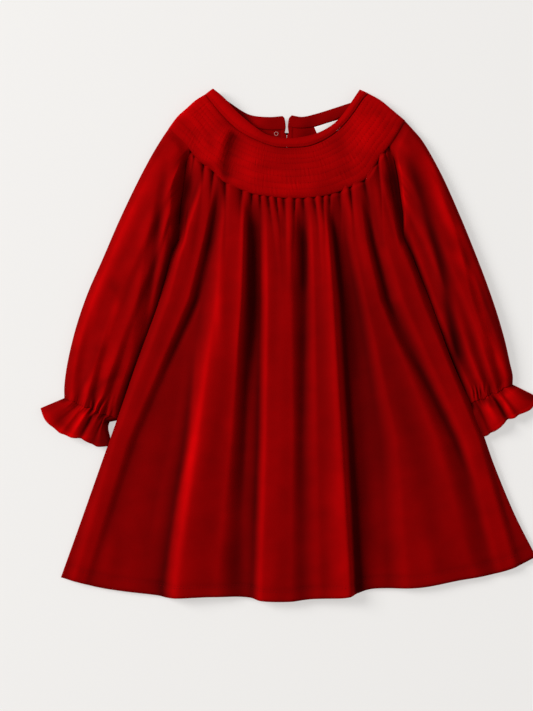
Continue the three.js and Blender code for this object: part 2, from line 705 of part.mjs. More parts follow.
function tube(paths, ringSizes, side, thickness, ends) {
  const flip = (list) => (side < 0 ? list : [...list].reverse());
  const rings = paths.map((path, i) => tubeRing(path, ringSizes[i]));
  const cutAlong = (path, sign) => {
    const step = 1e-3;
    return rings[0].map((_, i) => {
      const from = clamp(acrossOf(path, ringSizes[0], i), 0, 1 - step);
      const direction = squareTo(path.at(from + step).sub(path.at(from)));
      return direction.multiplyScalar(sign * -side);
    });
  };
  const cuts = {};
  if (ends.top) cuts.top = flip(cutAlong(paths[0], 1));
  if (ends.bottom) cuts.bottom = flip(cutAlong(paths[paths.length - 1], -1));
  return wallUnder(rings.map(flip), thickness, cuts, true);
}

// How far across its path a ring's point lies
function acrossOf(path, { underCount, topCount }, i) {
  const share = (inset) => Math.min(inset / path.length, 0.4);
  const first = share(TUBE_ROLL[0].inset);
  const rolls = TUBE_ROLL.length;
  if (i < rolls) return share(TUBE_ROLL[i].inset);
  if (i < rolls + topCount) return lerp(first, 1 - first, (i - rolls) / (topCount - 1));
  if (i < 2 * rolls + topCount) return 1 - share(TUBE_ROLL[2 * rolls + topCount - 1 - i].inset);
  return lerp(1 - first, first, (i - 2 * rolls - topCount + 1) / (underCount + 1));
}

function armholePath(side) {
  const along = side < 0 ? partOf(yokeSeam, 0, ARMHOLE_LEFT) : partOf(yokeSeam, 1, ARMHOLE_RIGHT);
  const down = partOf(side < 0 ? sideLeft : sideRight, 0, UNDERARM);
  return joined(along, down);
}

// A straight path across a tube that keeps some of the armhole's bend
function bentPath(start, end, bend, armhole) {
  const chordStart = armhole.at(0);
  const chordEnd = armhole.at(1);
  return measured((share) => {
    const point = start.clone().lerp(end, share);
    const away = armhole.at(share).sub(chordStart.clone().lerp(chordEnd, share));
    return point.addScaledVector(away, bend);
  });
}

function planPoint([x, y]) {
  return new THREE.Vector3(x, y, 0);
}

function sleevePaths(side) {
  const armhole = armholePath(side);
  const stations = side < 0 ? SLEEVE_LEFT : SLEEVE_RIGHT;
  return stations.map(({ outer, inner }, i) =>
    i === 0 ? armhole : bentPath(planPoint(outer), planPoint(inner), ARMHOLE_BEND[i] ?? 0, armhole),
  );
}

function sleeveTop(across, along) {
  const creases = SLEEVE_CREASES.map((crease) => ({
    at: atLevel(SLEEVE_LEVELS, crease.across, along),
    z: atLevel(SLEEVE_LEVELS, crease.z, along),
  }));
  const fade = Math.sin(Math.PI * across);
  const shoulder = 1 - smoothstep(along, 0, 0.14);
  const wrist = smoothstep(along, 0.84, 1);
  const gathers = shoulder * SLEEVE_GATHER_RELIEF * Math.cos(2 * Math.PI * SLEEVE_GATHERS * across);
  const wristGathers = wrist * WRIST_GATHER_RELIEF * Math.cos(2 * Math.PI * WRIST_GATHERS * across);
  return heightBetween(creases, across) + fade * (gathers + wristGathers);
}

const SLEEVE_RING = { underCount: 4, topCount: 19 };
const RUFFLE_RING = { underCount: 4, topCount: 29 };

// The heights of a sleeve's two sides, just under the cloth of its top
const outerSide = (along) => sleeveTop(0.06, along) * 0.96;
const innerSide = (along) => sleeveTop(0.99, along) + 0.4;

function sleeveRing(along) {
  return {
    ...SLEEVE_RING,
    outerHeight: outerSide(along),
    innerHeight: innerSide(along),
    topAt: (across) => sleeveTop(across, along),
  };
}

function buildSleeve(side) {
  const paths = sleevePaths(side);
  const sizes = paths.map((_, i) => sleeveRing(i / (paths.length - 1)));
  return tube(paths, sizes, side, CLOTH, { top: true, bottom: true });
}

const RUFFLE_STATIONS = [0, 0.2, 0.45, 0.72, 1];
const RUFFLE_LEVEL = [{ at: 0, z: 8 }, { at: 0.3, z: 10.5 }, { at: 1, z: 8 }];

function buildRuffle(side) {
  const gather = sleevePaths(side)[SLEEVE_LEFT.length - 1];
  const edge = curveThrough(side < 0 ? RUFFLE_LEFT : RUFFLE_RIGHT);
  const paths = RUFFLE_STATIONS.map((along) =>
    along === 0 ? gather : measured((share) => gather.at(share).lerp(edge.at(share), along)),
  );
  const sizes = RUFFLE_STATIONS.map((along) => ({
    ...RUFFLE_RING,
    outerHeight: lerp(outerSide(1), RUFFLE_OUTER_HEIGHT, along),
    innerHeight: lerp(innerSide(1), RUFFLE_INNER_HEIGHT, along),
    topAt: (across) => {
      const wave = Math.cos(2 * Math.PI * RUFFLE_WAVES * across + 0.6 * Math.sin(7 * across));
      const level = heightBetween(RUFFLE_LEVEL, across);
      const flare = RUFFLE_FLARE * Math.sin(Math.PI * along);
      return level + flare + lerp(1, RUFFLE_RELIEF, along) * wave * Math.sin(Math.PI * across) ** 0.6;
    },
  }));
  return tube(paths, sizes, side, CLOTH, { top: true });
}

// Small pieces
function buildButton() {
  const top = BUTTON_THICKNESS;
  const shankTop = BUTTON_THICKNESS + LOOP_THICKNESS + 2 * SEAM;
  const profile = [
    [0, 0], [BUTTON_RADIUS - 0.5, 0], [BUTTON_RADIUS, 0.5], [BUTTON_RADIUS, top - 0.4],
    [BUTTON_RADIUS - 0.5, top], [SHANK_RADIUS, top], [SHANK_RADIUS, shankTop], [0, shankTop],
  ].map(([x, y]) => new THREE.Vector2(x, y));
  const geometry = new THREE.LatheGeometry(profile, 20);
  return geometry.rotateX(Math.PI / 2).translate(BUTTON_AT[0], BUTTON_AT[1], 0);
}

// A flat loop of cord: its eye goes round the button's shank, its tail lies under the right half.
function buildLoop() {
  const level = BUTTON_THICKNESS + SEAM;
  const eye = SHANK_RADIUS + 0.5;
  const rim = eye + 1.3;
  const tail = 18;
  const halfTail = 1.2;
  const meet = Math.asin(halfTail / rim);
  const shape = new THREE.Shape();
  shape.absarc(0, 0, rim, meet, 2 * Math.PI - meet, false);
  shape.lineTo(tail, -halfTail);
  shape.lineTo(tail, halfTail);
  shape.closePath();
  const hole = new THREE.Path();
  hole.absarc(0, 0, eye, 0, 2 * Math.PI, true);
  shape.holes.push(hole);
  const options = { depth: LOOP_THICKNESS, bevelEnabled: false, curveSegments: 16 };
  const geometry = new THREE.ExtrudeGeometry(shape, options);
  return geometry.translate(BUTTON_AT[0], BUTTON_AT[1], level);
}

function buildLabel() {
  const level = BACK_BAND_CLOTH + SEAM;
  return extruded(LABEL.map(planPoint), LABEL_THICKNESS, level);
}

addPiece("front_yoke", buildFrontYoke(), velvet);
addPiece("front_skirt", buildFrontSkirt(), velvet);
addPiece("neckband_front", buildFrontBand(), velvet);
for (const [side, name] of [[-1, "left"], [1, "right"]]) {
  addPiece("sleeve_" + name, buildSleeve(side), velvet);
  addPiece("wrist_ruffle_" + name, buildRuffle(side), velvet);
  addPiece("back_yoke_" + name, buildBackYoke(side), velvet);
  addPiece("neckband_back_" + name, buildBackBand(side), velvet);
}
addPiece("back_skirt", buildBackSkirt(), velvet);
addPiece("back_button", buildButton(), redPlastic);
addPiece("button_loop", buildLoop(), velvet);
addPiece("neck_label", buildLabel(), plainTape);

export default dress;
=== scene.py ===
"""A toddler's red velvet party dress, laid flat with its front up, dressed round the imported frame.

Plan sizes are in millimetres in the dress's own drawing, heights above the surface likewise, and meshes
are made in metres. Each front panel is a thin wall of cloth over the back panels, with its creases
worked out from short tables.
"""

import logging
import math
from dataclasses import dataclass, field
from enum import Enum
from typing import Callable, Iterable, Sequence

import bpy
import numpy as np
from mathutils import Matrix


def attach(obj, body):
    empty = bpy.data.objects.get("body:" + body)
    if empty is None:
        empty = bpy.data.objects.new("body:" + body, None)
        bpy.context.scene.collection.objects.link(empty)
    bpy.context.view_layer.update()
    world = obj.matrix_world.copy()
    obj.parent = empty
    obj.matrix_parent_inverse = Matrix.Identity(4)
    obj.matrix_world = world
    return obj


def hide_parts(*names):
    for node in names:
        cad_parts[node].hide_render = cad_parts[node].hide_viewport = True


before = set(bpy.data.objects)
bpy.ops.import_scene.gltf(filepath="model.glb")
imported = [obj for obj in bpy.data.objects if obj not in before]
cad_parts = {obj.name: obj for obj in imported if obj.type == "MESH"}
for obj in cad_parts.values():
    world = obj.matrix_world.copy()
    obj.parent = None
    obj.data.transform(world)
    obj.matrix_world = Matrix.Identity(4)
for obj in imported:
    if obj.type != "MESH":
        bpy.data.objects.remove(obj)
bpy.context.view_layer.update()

log = logging.getLogger("dress")

MM = 0.001
ORIGIN_SHIFT = (0.6, 0.5)  # from the drawing's middle to the row's origin, in millimetres
CLOTH = 1.3  # one layer of velvet
BAND_CLOTH = 2.4  # the neck band, folded double
BACK_BAND_CLOTH = 2.0  # the same band pressed flat at the back
ROLL_INSET = 10.0  # where a side roll has reached its panel's own height
FLANGE = 16.0  # how far a side roll runs in under its panel
SEAM_GAP = 0.3  # between pieces that are sewn together
SEAM_LAP = 0.8  # how far the back yoke runs on under the band's seam

PAINTED_SHADING = "painted_shading"  # the attribute that holds the painted light and shade, which scales the velvet's colour
PAINTED_SHADING_SCALES = ((3.5, 0.24), (12.0, 0.11))  # widths of relief, and how much 1 mm of it brightens the colour on ridges as painted highlight and darkens it in troughs as painted shade
# the limits of the painted light and shade drawn from the relief
PAINTED_SHADING_RANGE = (0.3, 1.6)

Points = Sequence[tuple[float, float]]
Array = np.ndarray
Sheet = Callable[[Array, Array], Array]


class Side(Enum):
    """The side of the dress as seen from above."""

    LEFT = -1
    RIGHT = 1

    @property
    def word(self) -> str:
        """The side's name in a piece's name."""
        return self.name.lower()


class Held(Enum):
    """How the cloth of a piece is held, in the frame's own words."""

    LAID = "laid"
    GATHERED = "gathered"


def smooth(value: Array | float, low: float, high: float) -> Array:
    """Swings softly from 0 at low to 1 at high.

    Args:
        value: the places to read.
        low: where the swing starts.
        high: where it ends.

    Returns:
        The swing at each place.
    """
    share = np.clip((np.asarray(value, float) - low) / (high - low), 0.0, 1.0)
    return share * share * (3.0 - 2.0 * share)


def mix(start: Array | float, end: Array | float, share: Array | float) -> Array:
    """The value that lies at a share of the way from start to end."""
    return np.asarray(start) + (np.asarray(end) - np.asarray(start)) * share


def bell(value: Array, middle: float, width: float) -> Array:
    """A soft bump of height 1 at the middle that fades within a few widths."""
    return np.exp(-(((value - middle) / width) ** 2))


def arch(share: Array) -> Array:
    """Half a wave over the shares from 0 to 1."""
    return np.sin(math.pi * np.clip(share, 0, 1))


def closing(down: Array, at: float) -> Array:
    """How far a panel's side has closed below an opening that ends at a share of it."""
    return smooth(down, at - 0.01, at + 0.035)


class Curve:
    """A smooth curve in the plan, read by its share of the length."""

    def __init__(self, dense: Array) -> None:
        """Keeps a dense line.

        Args:
            dense: the line's points, one a row.
        """
        steps = np.linalg.norm(np.diff(dense, axis=0), axis=1)
        self.dense = dense
        self.along = np.concatenate([[0.0], np.cumsum(steps)])
        self.length = float(self.along[-1])

    @classmethod
    def through(cls, points: Points, per_span: int = 48) -> "Curve":
        """The centripetal curve through a few points.

        Args:
            points: the points in order.
            per_span: how many steps lie between two of them.

        Returns:
            The curve.
        """
        given = np.asarray(points, float)
        first = 2 * given[0] - given[1]
        last = 2 * given[-1] - given[-2]
        knots = np.vstack([first, given, last])
        shares = np.linspace(0.0, 1.0, per_span, endpoint=False)[:, None]
        spans = [cls._span(knots[i : i + 4], shares) for i in range(len(given) - 1)]
        return cls(np.vstack([*spans, given[-1:]]))

    @classmethod
    def _span(cls, knots: Array, shares: Array) -> Array:
        """The points between the second and third of four knots.

        Args:
            knots: four points.
            shares: the places between the middle two.

        Returns:
            One point for each share.
        """
        gaps = np.sqrt(np.maximum(np.linalg.norm(np.diff(knots, axis=0), axis=1), 1e-9))
        times = np.concatenate([[0.0], np.cumsum(gaps)])
        place = times[1] + shares * (times[2] - times[1])
        pairs = [cls._between(knots[i], knots[i + 1], times[i], times[i + 1], place) for i in range(3)]
        level = [cls._between(pairs[i], pairs[i + 1], times[i], times[i + 2], place) for i in range(2)]
        return cls._between(level[0], level[1], times[1], times[2], place)

    @staticmethod
    def _between(start: Array, end: Array, from_time: float, to_time: float, place: Array) -> Array:
        """The point on the line between two timed points."""
        return (start * (to_time - place) + end * (place - from_time)) / (to_time - from_time)

    def at(self, share: Array | float) -> Array:
        """The points at the given shares of the length."""
        place = np.clip(np.asarray(share, float), 0.0, 1.0) * self.length
        return np.stack([np.interp(place, self.along, self.dense[:, k]) for k in (0, 1)], axis=-1)

    def part(self, start: float, end: float, count: int = 240) -> "Curve":
        """The stretch between two shares, in that direction."""
        return Curve(self.at(np.linspace(start, end, count)))

    def joined(self, other: "Curve") -> "Curve":
        """This curve and then another that starts where it ends."""
        return Curve(np.vstack([self.dense, other.dense[1:]]))

    def share_at_x(self, x: float) -> float:
        """The share of the length where a curve that runs across reaches x."""
        nearest = int(np.argmin(np.abs(self.dense[:, 0] - x)))
        return float(self.along[nearest] / self.length)


def sheet_between(top: Curve, bottom: Curve, left: Curve, right: Curve) -> Sheet:
    """A sheet stretched between four edges.

    Args:
        top: the edge at down 0, from left to right.
        bottom: the edge at down 1, from left to right.
        left: the edge at across 0, from top to bottom.
        right: the edge at across 1, from top to bottom.

    Returns:
        The plan place at across and down.
    """
    corners = [top.at(0.0), top.at(1.0), bottom.at(0.0), bottom.at(1.0)]

    def place(across: Array, down: Array) -> Array:
        """The plan place of each pair of shares.

        Args:
            across: the shares across.
            down: the shares down.

        Returns:
            The plan places.
        """
        a = np.asarray(across, float)[..., None]
        d = np.asarray(down, float)[..., None]
        edges = (1 - d) * top.at(across) + d * bottom.at(across)
        edges = edges + (1 - a) * left.at(down) + a * right.at(down)
        shared = (1 - a) * (1 - d) * corners[0] + a * (1 - d) * corners[1]
        return edges - shared - (1 - a) * d * corners[2] - a * d * corners[3]

    return place


@dataclass(frozen=True)
class Crease:
    """One ridge or valley that runs along a panel.

    Attributes:
        name: what it is.
        at: where it lies at each level.
        z: how high the cloth is there.
    """

    name: str
    at: tuple[float, ...]
    z: tuple[float, ...]


def height_between(creases: Sequence[Crease], levels: Sequence[float], place: Array, level: Array) -> Array:
    """The height of cloth that swings softly from crease to crease.

    Args:
        creases: the creases in order across the panel.
        levels: the levels that their values go with.
        place: where to read, across the panel.
        level: where to read, along it.

    Returns:
        The height at each place.
    """
    order = np.argsort(levels)
    steps = np.asarray(levels, float)[order]
    at = [np.interp(level, steps, np.asarray(crease.at, float)[order]) for crease in creases]
    z = [np.interp(level, steps, np.asarray(crease.z, float)[order]) for crease in creases]
    height = z[0]
    for before in range(len(creases) - 1):
        width = np.maximum(at[before + 1] - at[before], 1e-6)
        swung = mix(z[before], z[before + 1], smooth((place - at[before]) / width, 0.0, 1.0))
        height = np.where(place > at[before], swung, height)
    return height


def wavering(plan: Array, size: float, seed: int) -> Array:
    """A slow uneven swell over the plan, between about -1 and 1.

    Args:
        plan: the plan places.
        size: the swell's length.
        seed: which swell it is.

    Returns:
        The swell at each place.
    """
    draws = np.random.default_rng(seed)
    total = np.zeros(plan.shape[:-1])
    waves = 7
    for _ in range(waves):
        angle = draws.uniform(0, 2 * math.pi)
        length = size * draws.uniform(0.6, 1.7)
        turn = draws.uniform(0, 2 * math.pi)
        along = plan[..., 0] * math.cos(angle) + plan[..., 1] * math.sin(angle)
        total += np.sin(2 * math.pi * along / length + turn)
    return total / waves * 1.6


NECK_EDGE = (
    (-84, 282), (-72, 272), (-59, 258), (-48, 248), (-38, 240), (-24, 231), (-3, 227),
    (13, 228), (32, 233), (48, 242), (59, 253), (68, 266), (78, 281),
)
BAND_SEAM = (
    (-92, 276), (-88, 270), (-74, 253), (-56, 236), (-36, 225), (-16, 218), (3, 217),
    (23, 219), (43, 228), (59, 241), (72, 257), (80, 269), (87, 277),
)
YOKE_SEAM = (
    (-133, 238), (-113, 219), (-100, 203), (-83, 190), (-73, 180), (-54, 171), (-40, 166),
    (1, 161), (40, 164), (64, 172), (86, 184), (100, 206), (114, 224), (128, 247),
)
SHOULDER_LEFT = ((-92, 276), (-103, 269), (-113, 260), (-123, 251), (-133, 238))
SHOULDER_RIGHT = ((87, 277), (101, 269), (112, 260), (123, 251), (128, 247))
HEM = (
    (-252, -257), (-210, -268), (-185, -272), (-144, -277), (-134, -279), (-84, -278), (-43, -279),
    (-32, -282), (1, -283), (26, -280), (64, -278), (75, -275), (90, -270), (145, -268), (188, -260),
    (222, -254), (249, -246), (273, -234),
)
SIDE_LEFT = (
    (-116, 175), (-119, 152), (-122, 126), (-130, 102), (-143, 49), (-167, -17), (-188, -78),
    (-208, -134), (-230, -196), (-252, -257),
)
SIDE_RIGHT = (
    (119, 188), (123, 159), (128, 130), (136, 98), (155, 49), (179, -17), (210, -87),
    (227, -134), (250, -189), (273, -234),
)
ARMHOLE_LEFT = 0.095  # where the armholes leave the yoke seam, as shares of its length
ARMHOLE_RIGHT = 0.905
UNDERARM = 0.2  # share of the skirt's side where the armhole ends

BODICE_HEIGHT = 12.0
SEAM_HEIGHT = 10.0

CREASE_LEVELS = (181, 115, 49, -105, -270)
SKIRT_CREASES = (
    Crease("left foot", (-99, -123, -143, -204, -252), (6.5, 6.5, 9, 8, 4)),
    Crease("left edge ridge", (-93, -114, -131, -189, -239), (10, 13, 14, 12.5, 7)),
    Crease("left edge top", (-81, -95, -112, -178, -230), (11, 14, 15, 12.5, 6.5)),
    Crease("left valley", (-74, -87, -102, -167, -221), (8.5, 8.5, 9, 9, 5)),
    Crease("low panel", (-72, -83, -97, -117, -142), (9, 9, 9.5, 9, 4.6)),
    Crease("wide fold, left", (-66, -73, -78, -99, -122), (11, 15, 17, 18, 14)),
    Crease("wide fold, right", (-51, -51, -53, -65, -82), (11, 17, 18.5, 17, 11)),
    Crease("wide valley, left", (-43, -43, -43, -48, -54), (9, 8.5, 8.5, 8.5, 6)),
    Crease("wide valley, right", (-33, -33, -33, -36, -42), (9, 8.5, 8, 9, 7)),
    Crease("centre fold, left", (-25, -24, -23, -25, -30), (11, 14, 15.5, 17, 13)),
    Crease("centre fold, right", (-4, -1, 1, 3, 1), (11, 15, 16, 16.5, 12)),
    Crease("centre valley", (15, 16, 17, 15, 15), (9, 8.5, 9, 13, 10)),
    Crease("long fold, left", (24, 26, 29, 32, 36), (11, 14, 15, 17, 13)),
    Crease("long fold, right", (37, 43, 47, 56, 67), (11, 17, 20, 22, 17)),
    Crease("long valley, left", (45, 52, 59, 69, 76), (9, 8.5, 8.5, 8, 4)),
    Crease("long valley, right", (55, 62, 74, 100, 109), (9.5, 9, 9.5, 8.5, 4.5)),
    Crease("broad fold, left", (63, 72, 85, 120, 133), (11, 14, 15, 14.5, 9)),
    Crease("broad fold, right", (75, 84, 98, 160, 207), (11, 14, 15.5, 14.5, 7.5)),
    Crease("right valley", (83, 92, 110, 183, 229), (9, 9, 9, 9, 5)),
    Crease("right edge top", (95, 107, 126, 195, 241), (11, 14, 15, 12.5, 6.5)),
    Crease("right edge ridge", (105, 122, 144, 208, 254), (10, 13, 14, 12, 7)),
    Crease("right foot", (112, 131, 155, 216, 265), (7, 7, 9, 8, 4)),
)

SLEEVE_LEVELS = (0, 0.35, 0.7, 1)
SLEEVE_CREASES = (
    Crease("outer side", (0, 0, 0, 0), (9, 11, 12, 7)),
    Crease("outer top", (0.16, 0.16, 0.14, 0.16), (11, 14, 15, 10)),
    Crease("outer dip", (0.27, 0.26, 0.25, 0.26), (10, 13.5, 13.5, 9.2)),
    Crease("middle ridge", (0.4, 0.42, 0.42, 0.38), (12, 16.5, 17.5, 11.5)),
    Crease("middle dip", (0.5, 0.53, 0.53, 0.49), (10, 13, 12.5, 9.2)),
    Crease("inner ridge", (0.62, 0.66, 0.66, 0.6), (12, 16, 16, 11.5)),
    Crease("inner dip", (0.72, 0.76, 0.77, 0.71), (9.5, 11.5, 11, 9)),
    Crease("edge ridge", (0.82, 0.86, 0.86, 0.82), (10.5, 13, 12, 9)),
    Crease("inner side", (1, 1, 1, 1), (6, 4.5, 4.5, 5.5)),
)

Station = tuple[tuple[float, float], tuple[float, float]]
# Each station is an outer point and an inner point of the sleeve's outline.
SLEEVE_STATIONS: dict[Side, tuple[Station, ...]] = {
    Side.LEFT: (
        ((-133, 238), (-124, 117)), ((-139, 229), (-128, 109)), ((-150, 211), (-131, 99)),
        ((-166, 181), (-132, 82)), ((-187, 137), (-140, 52)), ((-206, 93), (-149, 25)),
        ((-221, 59), (-157, 2)), ((-233, 25), (-164, -18)), ((-241, -5), (-171, -37)),
        ((-246, -30), (-176, -54)), ((-248, -48), (-181, -68)), ((-248, -59), (-187, -83)),
    ),
    Side.RIGHT: (
        ((128, 247), (131, 117)), ((136, 238), (133, 109)), ((147, 225), (136, 100)),
        ((167, 190), (141, 83)), ((187, 146), (151, 55)), ((205, 102), (160, 28)),
        ((218, 68), (169, 6)), ((229, 36), (176, -13)), ((238, 5), (182, -29)),
        ((244, -21), (188, -43)), ((247, -34), (193, -54)), ((247, -44), (198, -66)),
    ),
}
ARMHOLE_BEND = (1, 0.82, 0.6, 0.34, 0.12, 0)  # how much of its bend the first stations keep
RUFFLE_EDGES: dict[Side, Points] = {
    Side.LEFT: (
        (-274, -70), (-267, -84), (-254, -96), (-237, -102), (-226, -105), (-212, -112), (-197, -112),
    ),
    Side.RIGHT: (
        (273, -57), (267, -69), (256, -76), (246, -81), (237, -86), (224, -97), (211, -103),
    ),
}

BUTTON_AT = (-14.0, 232.5)
BUTTON_THICKNESS = 1.6
LOOP_THICKNESS = 1.0
BUTTON_ROOM = 0.9  # between the loop and the cloth over it
LIFT_REACH = (20.0, 42.0)  # how far from the button its lift starts to fade, and where it ends
SLIT_X = -2.4
SLIT_LEVELS = (253, 250, 246, 240, 236.5, 233.5, 230, 180)
SLIT_HALVES = (5.6, 2.6, 1.7, 1.1, 1.5, 2.1, 0.15, 0.15)
BACK_SEAM_Y = 186.0
BACK_NECK: dict[Side, Points] = {
    Side.LEFT: ((-44, 254), (-24, 251), (-8, 252)),
    Side.RIGHT: ((30, 255), (14, 251.5), (3.2, 253)),
}
BACK_BAND: dict[Side, Points] = {
    Side.LEFT: ((-62, 250), (-44, 241), (-24, 237), (-3.5, 237)),
    Side.RIGHT: ((58, 252), (36, 243), (14, 239), (-1.3, 240)),
}
LABEL = ((28, 240), (60, 250), (56.5, 237), (33, 229))


class Outline:
    """The laid dress's seams and edges, which the panels share."""

    neck_edge = Curve.through(NECK_EDGE)
    band_seam = Curve.through(BAND_SEAM)
    yoke_seam = Curve.through(YOKE_SEAM)
    hem = Curve.through(HEM)
    skirt_seam = yoke_seam.part(ARMHOLE_LEFT, ARMHOLE_RIGHT, 700)
    side_left = Curve.through((tuple(skirt_seam.at(0.0)), *SIDE_LEFT))
    side_right = Curve.through((tuple(skirt_seam.at(1.0)), *SIDE_RIGHT))
    yoke = staticmethod(sheet_between(
        band_seam, yoke_seam, Curve.through(SHOULDER_LEFT), Curve.through(SHOULDER_RIGHT)
    ))
    skirt = staticmethod(sheet_between(skirt_seam, hem, side_left, side_right))
    band = staticmethod(sheet_between(
        neck_edge, band_seam,
        Curve(np.linspace(neck_edge.at(0.0), band_seam.at(0.0), 2)),
        Curve(np.linspace(neck_edge.at(1.0), band_seam.at(1.0), 2)),
    ))

    @classmethod
    def yoke_row(cls, down: Array) -> Array:
        """The length of the yoke's row at a share down it."""
        return mix(cls.band_seam.length, cls.yoke_seam.length, down)

    @classmethod
    def band_row(cls, down: Array) -> Array:
        """The length of the neck band's row at a share down it."""
        return mix(cls.neck_edge.length, cls.band_seam.length, down)

    @classmethod
    def skirt_row(cls, down: Array) -> Array:
        """The length of the skirt's row at a share down it."""
        return mix(cls.skirt_seam.length, cls.hem.length, down)


def unit(vectors: Array) -> Array:
    """The vectors at length 1."""
    return vectors / np.maximum(np.linalg.norm(vectors, axis=-1, keepdims=True), 1e-12)


@dataclass
class Wall:
    """Cloth of one even thickness under a grid of outer points.

    Attributes:
        outer: the points in millimetres, rows down and columns across.
        thickness: the cloth's thickness.
        closed: whether the last column meets the first one.
        level: the cloth's height before its sides roll down.
        painted_light_and_shade: painted light and shade over the cloth, as how much brighter its colour is
            than plain velvet's, below 1 for painted shade.
    """

    outer: Array
    thickness: float
    closed: bool = False
    level: Array | None = None
    painted_light_and_shade: Array | float = 1.0

    def outward(self) -> Array:
        """The direction away from the cloth at each outer point.

        Returns:
            One vector of length 1 for each point.
        """
        if self.closed:
            along = np.roll(self.outer, -1, axis=1) - np.roll(self.outer, 1, axis=1)
        else:
            along = np.gradient(self.outer, axis=1)
        return unit(np.cross(np.gradient(self.outer, axis=0), along))

    def faces(self) -> Array:
        """The quads of both surfaces and of the cut edges between them.

        Returns:
            The quads, one a row.
        """
        rows, columns = self.outer.shape[:2]
        spans = columns if self.closed else columns - 1
        row = np.arange(rows - 1)[:, None]
        column = np.arange(spans)[None, :]
        after = (column + 1) % columns
        under = rows * columns
        corners = [row * columns + column, row * columns + after]
        corners += [(row + 1) * columns + after, (row + 1) * columns + column]
        quads = [np.stack(corners[::-1], -1), np.stack(corners, -1) + under]
        last = (rows - 1) * columns
        start, end = column.ravel(), after.ravel()
        quads.append(np.stack([start, end, end + under, start + under], -1))
        quads.append(np.stack([start + last + under, end + last + under, end + last, start + last], -1))
        if not self.closed:
            high, low = row.ravel() * columns, (row.ravel() + 1) * columns
            quads.append(np.stack([high + under, low + under, low, high], -1))
            high, low = high + columns - 1, low + columns - 1
            quads.append(np.stack([high, low, low + under, high + under], -1))
        return np.concatenate([quad.reshape(-1, 4) for quad in quads])

    def painted_shading(self) -> Array:
        """The painted light and shade at each point: above 1 on ridges as painted highlight, and below it in
        troughs as painted shade.

        Returns:
            One value for each outer point and then for each inner one.
        """
        height = self.outer[..., 2] if self.level is None else self.level
        extra = len(self.outer) - len(height)
        height = np.pad(height, ((extra, 0), (0, 0)), mode="edge")
        gaps = [np.linalg.norm(np.diff(self.outer, axis=axis), axis=-1) for axis in (0, 1)]
        steps = [float(np.median(gap)) for gap in gaps]
        painted_shade_scale = np.ones_like(height)
        for width, strength in PAINTED_SHADING_SCALES:
            painted_shade_scale = painted_shade_scale + strength * (height - evened(height, steps, width, self.closed))
        painted_shade_scale = np.clip(painted_shade_scale, *PAINTED_SHADING_RANGE) * np.maximum(self.painted_light_and_shade, 0.1)
        return np.concatenate([painted_shade_scale.ravel(), np.ones(height.size)])

    def points(self) -> Array:
        """The outer points and then the inner ones.

        Returns:
            The points, one a row.
        """
        inner = self.outer - self.outward() * self.thickness
        points = np.concatenate([self.outer.reshape(-1, 3), inner.reshape(-1, 3)])
        points[:, 2] = np.maximum(points[:, 2], 0.0)
        return points


@dataclass(frozen=True)
class Finish:
    """A material of the dress.

    Attributes:
        name: the material's name.
        color: its linear colour.
        roughness: how dull it is.
        specular: how much it shines.
    """

    name: str
    color: tuple[float, float, float]
    roughness: float
    specular: float = 0.5

    def material(self) -> bpy.types.Material:
        """Makes the material once and hands it back after that.

        Returns:
            The material.
        """
        found = bpy.data.materials.get(self.name)
        if found:
            return found
        made = bpy.data.materials.new(self.name)
        made.use_nodes = True
        shader = made.node_tree.nodes["Principled BSDF"]
        shader.inputs["Base Color"].default_value = (*self.color, 1.0)
        shader.inputs["Roughness"].default_value = self.roughness
        shader.inputs["Specular IOR Level"].default_value = self.specular
        self.dress(made.node_tree, shader)
        return made

    def dress(self, tree: bpy.types.NodeTree, shader: bpy.types.Node) -> None:
        """Adds what the plain finish lacks."""


def noise_node(tree: bpy.types.NodeTree, scale: float, detail: float) -> bpy.types.Node:
    """A noise in the piece's own coordinates.

    Args:
        tree: the material's nodes.
        scale: how fine it is, in waves a metre.
        detail: its octaves.

    Returns:
        The noise node.
    """
    places = tree.nodes.new("ShaderNodeTexCoord")
    noise = tree.nodes.new("ShaderNodeTexNoise")
    noise.inputs["Scale"].default_value = scale
    noise.inputs["Detail"].default_value = detail
    tree.links.new(places.outputs["Object"], noise.inputs["Vector"])
    return noise


def raise_nap(
    tree: bpy.types.NodeTree, shader: bpy.types.Node, noise: bpy.types.Node, strength: float, distance: float
) -> None:
    """Lets a noise stand up from the surface.

    Args:
        tree: the material's nodes.
        shader: the shader whose surface it is.
        noise: the noise node.
        strength: how much of it shows.
        distance: its height in metres.
    """
    bump = tree.nodes.new("ShaderNodeBump")
    bump.inputs["Strength"].default_value = strength
    bump.inputs["Distance"].default_value = distance
    tree.links.new(noise.outputs["Fac"], bump.inputs["Height"])
    tree.links.new(bump.outputs["Normal"], shader.inputs["Normal"])


def evened(grid: Array, steps: Sequence[float], width: float, closed: bool) -> Array:
    """The heights of a grid averaged softly over a width.

    Args:
        grid: the heights.
        steps: the grid's steps down and across, in millimetres.
        width: how wide the averaging reaches, in millimetres.
        closed: whether the last column meets the first one.

    Returns:
        The averaged heights.
    """
    for axis, step in enumerate(steps):
        size = grid.shape[axis]
        half = int(np.clip(round(width / step), 1, size // 2))
        around = [(half + 1, half) if k == axis else (0, 0) for k in (0, 1)]
        for _ in range(3):
            padded = np.pad(grid, around, mode="wrap" if axis == 1 and closed else "edge")
            total = np.cumsum(padded, axis=axis)
            high = np.take(total, range(2 * half + 1, 2 * half + 1 + size), axis)
            grid = (high - np.take(total, range(size), axis)) / (2 * half + 1)
    return grid


